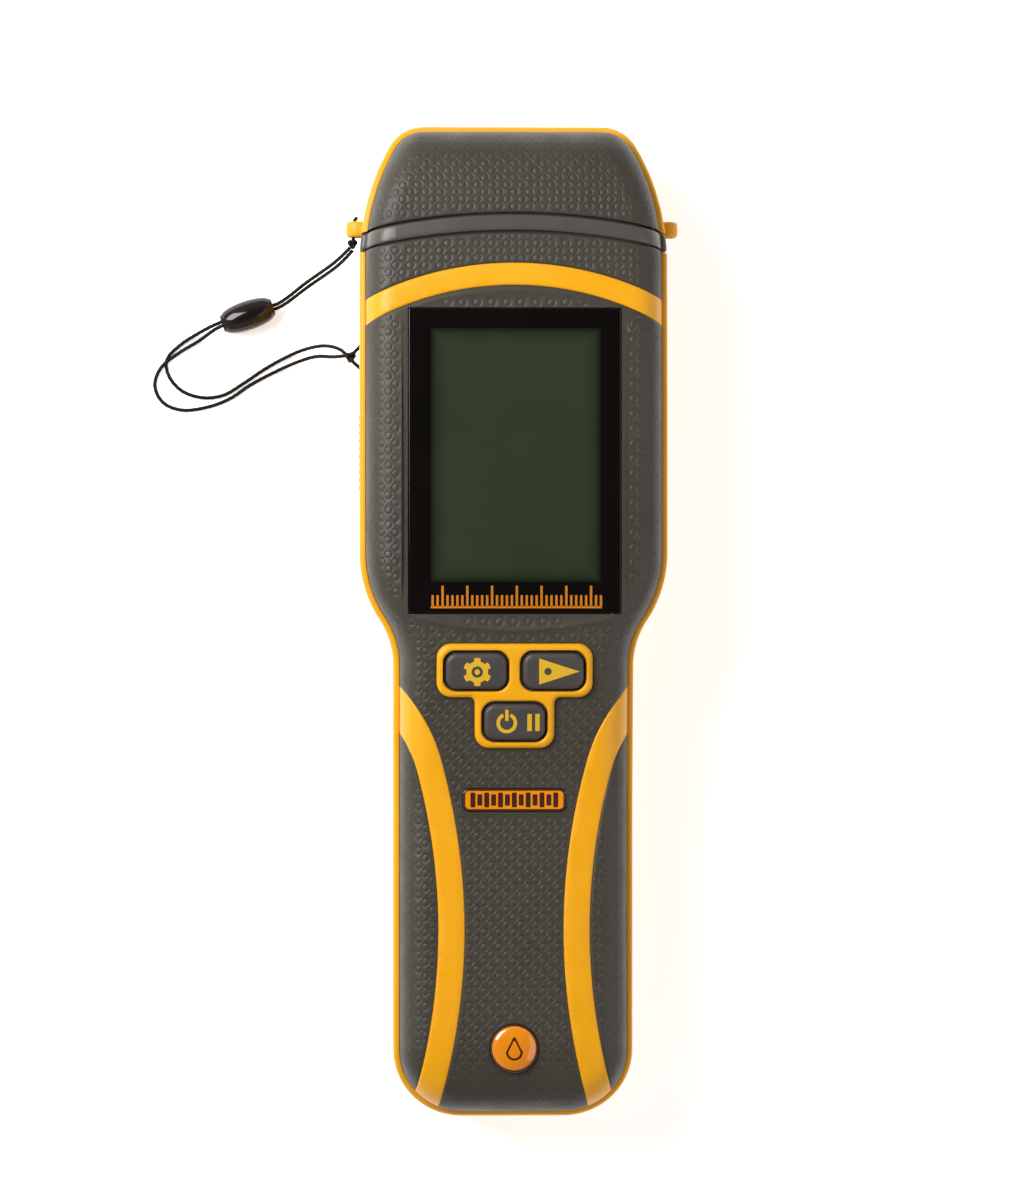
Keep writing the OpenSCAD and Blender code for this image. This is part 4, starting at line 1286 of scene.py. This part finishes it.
def belt_ring(top, sink=0.0):
    """Closed points round the case's section along the seam arc whose highest point is at top."""
    x, y = BELT_X, seam_y(BELT_X, top)
    right = [np.column_stack([x, y, front_z(np.column_stack([x, y]))])]
    edge = [(d, None) for d in SHOULDER_ROWS[::-1] if d > RIM] + FRONT_EDGE[6::-1] + REAR_EDGE[::-1]
    edge += [(3.0, flat(rear_z(3.0))), (REAR_R, flat(0.0))]
    for d, height in edge:
        px = HEAD_X - d
        for _ in range(3):
            py = float(seam_y(px, top))
            px = float(half_width(py)) - d
        spot = np.array([[px, py]])
        z = front_z(spot, np.array([d])) if height is None else height(spot)
        right.append(np.column_stack([spot, z]))
    right.append(np.column_stack([x[::-1], y[::-1], 0 * x]))
    right = np.concatenate(right)
    ring = np.concatenate([right, right[-2:0:-1] * [-1, 1, 1]])
    ring[:, 0] *= 1 - sink / HEAD_X
    ring[:, 2] = BELT_MIDDLE_Z + (ring[:, 2] - BELT_MIDDLE_Z) * (1 - sink / BELT_MIDDLE_Z)
    return ring


def belt(rows):
    """A closed band round the case through rows of (seam height, sink)."""
    rings = [belt_ring(*row) for row in rows]
    return np.concatenate(rings), quads(len(rings), len(rings[0]))


def nose_loop(grow):
    """Section of the nose in x and z, anticlockwise."""
    right = [(23 + grow, 5 - grow), (27 + grow, 9 - grow), (27 + grow, 26.5), (21.5 + grow, 33 + grow)]
    corners = np.array(right + [(-x, z) for x, z in right[::-1]])
    return np.concatenate([line_n(a, b, 8)[:-1] for a, b in zip(corners, np.roll(corners, -1, 0))])


def make_collar():
    a, b = SEAMS[1], SEAMS[2]
    rows = [(a, 3.0), (a, 0.26), (a + 0.1, 0.1), (a + 0.35, 0), (a + 0.9, 0), (a + 1.5, 0), (b - 0.9, 0), (b - 0.35, 0),
            (b - 0.1, 0.1), (b, 0.26), (b, 3.0)]
    piece("collar_band", belt(rows), "case", "collar", "neck_collar")
    # Near-black strips under the seams are painted shade, standing in for the shade deep in the seam gaps.
    for name, low, high in (("case_seam", SEAMS[0] - 0.4, a + 0.4), ("cap_seam", b - 0.4, SEAMS[3] - 0.06)):
        piece(name + "_shade_strip", belt([(low, 0.8), (high, 0.8), (high, 2.6), (low, 2.6)]), "case", "groove")
    face = belt_ring(CASE_SEAM_Y, 1.0)[:, [0, 2]]
    plate = slab(face[::-1], (nose_loop(0.05),), top=flat(-76.9), low=-78.3)
    piece("collar_plate", moved(plate, lambda p: turn_xz(p) * [1, -1, 1]), "case", "collar")
    mouth = belt_ring(86.0, 1.7)[:, [0, 2]]
    walls = slab(mouth[::-1], (nose_loop(0.35),), top=flat(-83.2), low=-86.4)
    piece("cap_mouth", moved(walls, lambda p: turn_xz(p) * [1, -1, 1]), "cap", "yellow")


LUG_Z = 19.0
LUG_LOW, LUG_HIGH = 79.1, 82.3


def make_lugs():
    """Two lugs at the cap's seam, each a rounded eye with a hole along the case."""
    parts = []
    tall = LUG_HIGH - LUG_LOW
    for side in (-1, 1):
        profile = rounded_rect(side * 31.5, LUG_Z, 5.3, 5.2, 2.3, 0.25)
        hole = round_loop(side * 32.6, LUG_Z, 0.95)
        outer = ((0.7, tall), (0.3, tall - 0.12), (0.08, tall - 0.4), (0, tall - 0.8),
                 (0, 0.8), (0.08, 0.4), (0.3, 0.12), (0.7, 0))
        eye = slab(profile, (hole,), outer, ((0.2, tall), (0.0, tall - 0.2), (0, 0.2), (0.2, 0)))
        parts.append(moved(eye, lambda p: turn_xz(p) + [0, LUG_HIGH, 0]))
    piece("cap_lugs", merged(*parts), "cap", "yellow", "cap_shell")


# ---- display
def flat_slab(loop, z, **more):
    low = more.pop("low", z - 1.5)
    return slab(loop, top=flat(z), low=low, **more)


def rect_loop(x0, x1, y0, y1, r=0.2):
    return rounded_rect((x0 + x1) / 2, (y0 + y1) / 2, x1 - x0, y1 - y0, r, 0.2)


def make_display():
    outer = ((0, 0.35), (0.06, 0.1), (0.16, 0.02), (0.3, 0))
    border = flat_slab(rect_loop(*WINDOW, 0.25), WINDOW_Z, holes=(rect_loop(*SCREEN, 0.35),),
                       outer_rows=outer, hole_rows=((0, 0.09), (0.05, 0.01), (0.1, 0)))
    piece("window_border", border, "case", "window", "display_window")
    x0, x1, y0, y1 = SCREEN
    panel = flat_slab(rect_loop(x0 + 0.02, x1 - 0.02, y0 + 0.02, y1 - 0.02, 0.35), WINDOW_Z - 0.08)
    piece("screen_panel", panel, "case", "lcd", "lcd_glass")
    ticks = []
    for i in range(35):
        x = -16.6 + i
        tall = 4.2 if i % 5 == 2 else 2.3
        ticks.append(rect_loop(x - 0.24, x + 0.24, 3.1, 3.1 + tall, 0.12))
    ticks.append(rect_loop(-17.0, 17.6, 2.75, 3.2, 0.12))
    ticks = [flat_slab(loop, WINDOW_Z + 0.03, low=WINDOW_Z - 0.1) for loop in ticks]
    piece("window_scale", merged(*ticks), "case", "scale")


# ---- keypad
KEYPAD_Z = float(crown(KEYPAD_Y))
KEY_W, KEY_H, KEY_R = 12.4, 7.4, 2.3
KEY_TOP = 1.35
KEY_SPOTS = {"key_a": (-7.8, 5.2), "key_b": (7.8, 5.2), "key_c": (0.0, -5.2)}


def on_pad(points):
    """Keypad-plane points with a height into the case's frame."""
    c, s = math.cos(KEYPAD_TILT), math.sin(KEYPAD_TILT)
    x, y, z = points.T
    return np.column_stack([x, KEYPAD_Y + y * c - z * s, KEYPAD_Z + y * s + z * c])


def key_dome(cx, cy, lift=0.0):
    def height(p):
        across = np.clip(1 - ((p[:, 0] - cx) / (KEY_W / 2)) ** 2, 0, 1)
        u = across * np.clip(1 - ((p[:, 1] - cy) / (KEY_H / 2)) ** 2, 0, 1)
        return KEY_TOP + 0.14 * np.sqrt(u) + lift
    return height


def key_rect(spot, grow):
    return rounded_rect(spot[0], spot[1], KEY_W + 2 * grow, KEY_H + 2 * grow, KEY_R + grow, 0.25)


def make_surround():
    rim = ((0, 2.6), (0, 1.15), (0.05, 0.75), (0.22, 0.38), (0.5, 0.14), (0.85, 0.03), (1.2, 0))
    mouth = ((0, 1.0), (0.03, 0.4), (0.14, 0.14), (0.35, 0.02), (0.6, 0))
    holes = [key_rect(spot, 0.5) for spot in KEY_SPOTS.values()]
    body = slab(surround_outline(0.0, 0.3), holes, rim, mouth, flat(1.0), -3.0)
    piece("keypad_frame", moved(body, on_pad), "case", "yellow", "keypad_surround")
    # Near-black rings in the gaps round the keys are painted shade, standing in for the shade between key and surround.
    rings = [slab(key_rect(spot, 0.5), (key_rect(spot, 0.1),), top=flat(0.3), low=-2.0)
             for spot in KEY_SPOTS.values()]
    piece("key_gap_shade_rings", moved(merged(*rings), on_pad), "case", "groove")


def gear_loop(cx, cy):
    steps = []
    tooth = ((-0.40, 2.2), (-0.3, 2.25), (-0.235, 2.85), (0, 2.9), (0.235, 2.85), (0.3, 2.25), (0.40, 2.2))
    for i in range(6):
        middle = math.pi / 2 + i * math.pi / 3
        for turn, r in tooth:
            steps.append((cx + r * math.cos(middle + turn), cy + r * math.sin(middle + turn)))
    return np.array(steps)


def band_loop(cx, cy, r, w, a0, a1):
    return np.concatenate([arc(cx, cy, r, a0, a1, 0.15), arc(cx, cy, r - w, a1, a0, 0.15)])


def make_keys():
    edge = ((0, 3.2), (0, 0.95), (0.05, 0.6), (0.2, 0.3), (0.45, 0.11), (0.8, 0.02), (1.2, 0))
    for body, (x, y) in KEY_SPOTS.items():
        node = {"key_a": "key_settings", "key_b": "key_reference", "key_c": "key_power"}[body]
        cap = slab(key_rect((x, y), 0), (), edge, top=key_dome(x, y), low=-1.9,
                   loose=grid_in(key_rect((x, y), -1.3), 0.8, 0.3))
        piece(node + "_cap", moved(cap, on_pad), body, "key", node)
    x, y = KEY_SPOTS["key_a"]
    gear = (gear_loop(x + 0.2, y - 0.1), round_loop(x + 0.2, y - 0.1, 1.15))
    dot = (round_loop(x + 0.2, y - 0.1, 0.55), )
    icons = {"key_a": [gear, dot]}
    x, y = KEY_SPOTS["key_b"]
    flag = np.concatenate([line_n(a, b, 10)[:-1] for a, b in (((x - 2.9, y + 2.65), (x - 2.9, y - 2.65)),
                                                                ((x - 2.9, y - 2.65), (x + 5.3, y)),
                                                                ((x + 5.3, y), (x - 2.9, y + 2.65)))])
    icons["key_b"] = [(flag, round_loop(x - 1.1, y, 0.75))]
    x, y = KEY_SPOTS["key_c"]
    up = math.pi / 2
    ring = band_loop(x - 1.6, y - 0.1, 2.1, 0.72, up + 0.42, up + 2 * math.pi - 0.42)
    bar = rect_loop(x - 1.95, x - 1.25, y + 0.35, y + 2.6, 0.08)
    pause = [rect_loop(x + c - 0.46, x + c + 0.46, y - 1.75, y + 1.75, 0.1) for c in (3.0, 4.6)]
    icons["key_c"] = [(ring,), (bar,)] + [(p,) for p in pause]
    for body, shapes in icons.items():
        x, y = KEY_SPOTS[body]
        solids = []
        for shape in shapes:
            solids.append(slab(shape[0], shape[1:], top=key_dome(x, y, 0.035), low=KEY_TOP - 0.4,
                               loose=grid_in(shape[0], 0.7, 0.25) if len(shape) == 1 else ()))
        piece(body + "_icon", moved(merged(*solids), on_pad), body, "icon")


# ---- badge, roundel, cover and cord fittings
def revolved(profile, n=64):
    """A closed solid turned about Z from (radius, height) points; a zero radius closes it."""
    a = np.arange(n) * 2 * math.pi / n
    points = np.concatenate([np.column_stack([r * np.cos(a), r * np.sin(a), np.full(n, float(z))]) for r, z in profile])
    faces = []
    for k in range(len(profile)):
        k2 = (k + 1) % len(profile)
        if profile[k][0] < 1e-6 and profile[k2][0] < 1e-6:
            continue
        for i in range(n):
            j = (i + 1) % n
            faces.append((k * n + i, k * n + j, k2 * n + j, k2 * n + i))
    return points, faces


def make_badge():
    x, y, w, h = BADGE
    z = float(crown(y))
    hole = rounded_rect(x, y, w - 0.9, h - 0.9, 0.8, 0.2)
    border = flat_slab(rounded_rect(x, y, w, h, 1.2, 0.2), z + 0.28, holes=(hole,),
                       outer_rows=((0, 0.3), (0.04, 0.12), (0.14, 0.02), (0.24, 0)),
                       hole_rows=((0, 0.1), (0.06, 0.0)))
    piece("badge_border", border, "case", "dark_rim")
    face = flat_slab(rounded_rect(x, y, w - 0.92, h - 0.92, 0.8, 0.2), z + 0.22)
    piece("badge_face", face, "case", "orange", "badge_plate")
    bars = []
    for i in range(13):
        bx = x - 8.4 + 1.4 * i
        tall = 1.5 if i % 2 == 0 else 1.15
        bars.append(flat_slab(rect_loop(bx - 0.5, bx + 0.5, y - tall, y + tall, 0.2), z + 0.25, low=z))
    piece("badge_bars", merged(*bars), "case", "dark_rim")


def drop_loop(cx, cy, r, tall):
    """A water drop with a round foot and a pointed top."""
    a = np.linspace(-math.pi / 2, 1.5 * math.pi, 61)[:-1]
    up = np.clip(np.sin(a), 0, 1)
    return np.column_stack([cx + r * np.cos(a) * (1 - 0.55 * up ** 1.2), cy + r * np.sin(a) + up ** 2.2 * (tall - r)])


def make_roundel():
    x, y, r = ROUNDEL
    z = float(crown(y))
    move = np.array([x, y, z])
    rim = [(r, -1.2), (r, 0.0), (r - 0.06, 0.2), (r - 0.2, 0.3), (r - 0.36, 0.26), (r - 0.44, 0.1),
           (r - 0.44, -1.2)]
    piece("roundel_ring", moved(revolved(rim), lambda p: p + move), "case", "dark_rim", "roundel_bezel")
    inner = r - 0.42
    steps = np.linspace(0, 1, 13)
    dome = [(0.0, -0.6), (inner, -0.6)]
    dome += [(inner * math.cos(t * math.pi / 2), 0.1 + 0.95 * math.sin(t * math.pi / 2)) for t in steps]
    piece("roundel_button", moved(revolved(dome, 96), lambda p: p + move), "case", "orange", "roundel_dome")

    def over(lift):
        def height(p):
            u = np.clip(1 - ((p[:, 0] - x) ** 2 + (p[:, 1] - y) ** 2) / inner ** 2, 0, 1)
            return z + 0.1 + 0.95 * np.sqrt(u) + lift
        return height
    outer = drop_loop(x, y - 0.7, 1.7, 3.1)
    inner_drop = drop_loop(x, y - 0.7, 1.25, 2.35)
    drop = slab(outer, (inner_drop,), top=over(0.02), low=z + 0.3)
    piece("roundel_drop", drop, "case", "dark_rim")


def make_cover():
    y0, y1, z0, z1 = COVER
    parts = [slab(rounded_rect((y0 + y1) / 2, (z0 + z1) / 2, y1 - y0, z1 - z0, 0.5, 0.2),
                  outer_rows=((0, 0.35), (0.1, 0.1), (0.3, 0)), top=flat(31.38), low=29.9)]
    for i in range(10):
        y = y0 + 1.6 + i * 1.6
        rib = rounded_rect(y, (z0 + z1) / 2, 0.8, z1 - z0 - 1.6, 0.38, 0.15)
        parts.append(slab(rib, outer_rows=((0, 0.22), (0.08, 0.07), (0.2, 0)), top=flat(31.58), low=30.9))
    parts = [moved(p, lambda q: turn_yz(q) * [-1, 1, 1]) for p in parts]
    barrel = [(0.0, z0), (0.9, z0), (0.95, z0 + 0.1), (0.95, z1 - 0.1), (0.9, z1), (0.0, z1)]
    parts.append(moved(revolved(barrel, 32), lambda p: p + [-30.45, 25.8, 0]))
    piece("socket_cover_skin", merged(*parts), "cover", "yellow", "socket_cover")
    y0, y1, z0, z1 = POCKET
    w = POCKET_WALL
    pocket = piece("lanyard_pocket", block((-30.5, y0 - w, z0 - w), (-25.6, y1 + w, z1 + w), 0.5), "case",
                   "black_plastic")
    cut(pocket, [block((-33, y0, z0), (-26.6, y1, z1), 0.6)])


def knot(name, middle, size, body, node, stub=()):
    """A small overhand knot: a cord wound round a trefoil."""
    t = np.linspace(0, 2 * math.pi, 97)[:-1]
    x, y = np.sin(t) + 2 * np.sin(2 * t), np.cos(t) - 2 * np.cos(2 * t)
    line = np.column_stack([x, y, -1.6 * np.sin(3 * t)]) * size / 3.0
    line = np.concatenate([line, line[:1]]) + np.array(middle)
    solids = [cord_tube(line)]
    if stub:
        solids.append(cord_tube(spline(stub, 10)))
    return piece(name, merged(*solids), body, "cord", node, smooth=60)


def make_bead():
    half = BEAD_LENGTH / 2
    turns = np.linspace(0, math.pi / 2, 15)
    side = half - 0.35
    bow = [(1.62 + (BEAD_R - 1.62) * math.sin(a), side - side * (1 - math.cos(a))) for a in turns[1:]]
    right = [(1.3, half - 0.6), (1.34, half - 0.1), (1.45, half), (1.72, half - 0.03), (1.82, half - 0.2)]
    right += [(r + 0.12 * (r < 1.9), h) for r, h in bow]
    profile = right[:-1] + [(right[-1][0], 0.0)] + [(r, -h) for r, h in right[:-1][::-1]]
    c, s = math.cos(BEAD_TURN), math.sin(BEAD_TURN)

    def lay(p):
        x, y, z = p.T
        return np.column_stack([z * c - y * s, z * s + y * c, x]) + BEAD_MIDDLE
    return piece("lanyard_bead", moved(revolved(profile, 72), lay), "bead", "bead", "tether_bead", smooth=50)


make_collar()
make_lugs()
make_display()
make_surround()
make_keys()
make_badge()
make_roundel()
make_cover()
lug_stub = [(-32.7, 78.2, 18.8), (-32.6, 79.6, 19.0), (-32.6, 81.6, 19.0), (-32.4, 82.5, 19.2),
            (-32.0, 83.1, 19.7)]
lug_knot = knot("knot_at_lug", (-32.85, 77.8, 18.6), 0.72, "cap", "lug_knot", lug_stub)
anchor_knot = knot("knot_at_bar", (-33.3, 54.8, 12.2), 0.85, "case", "anchor_knot")
bead = make_bead()
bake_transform(cord)

# ---- the CAD nodes that stay in view
for row in frame["record"]["subparts"]:
    node = frame["nodes"][row["node"]]
    node.data.materials.clear()
    node.data.materials.append(MATS[row["material_slot"]])
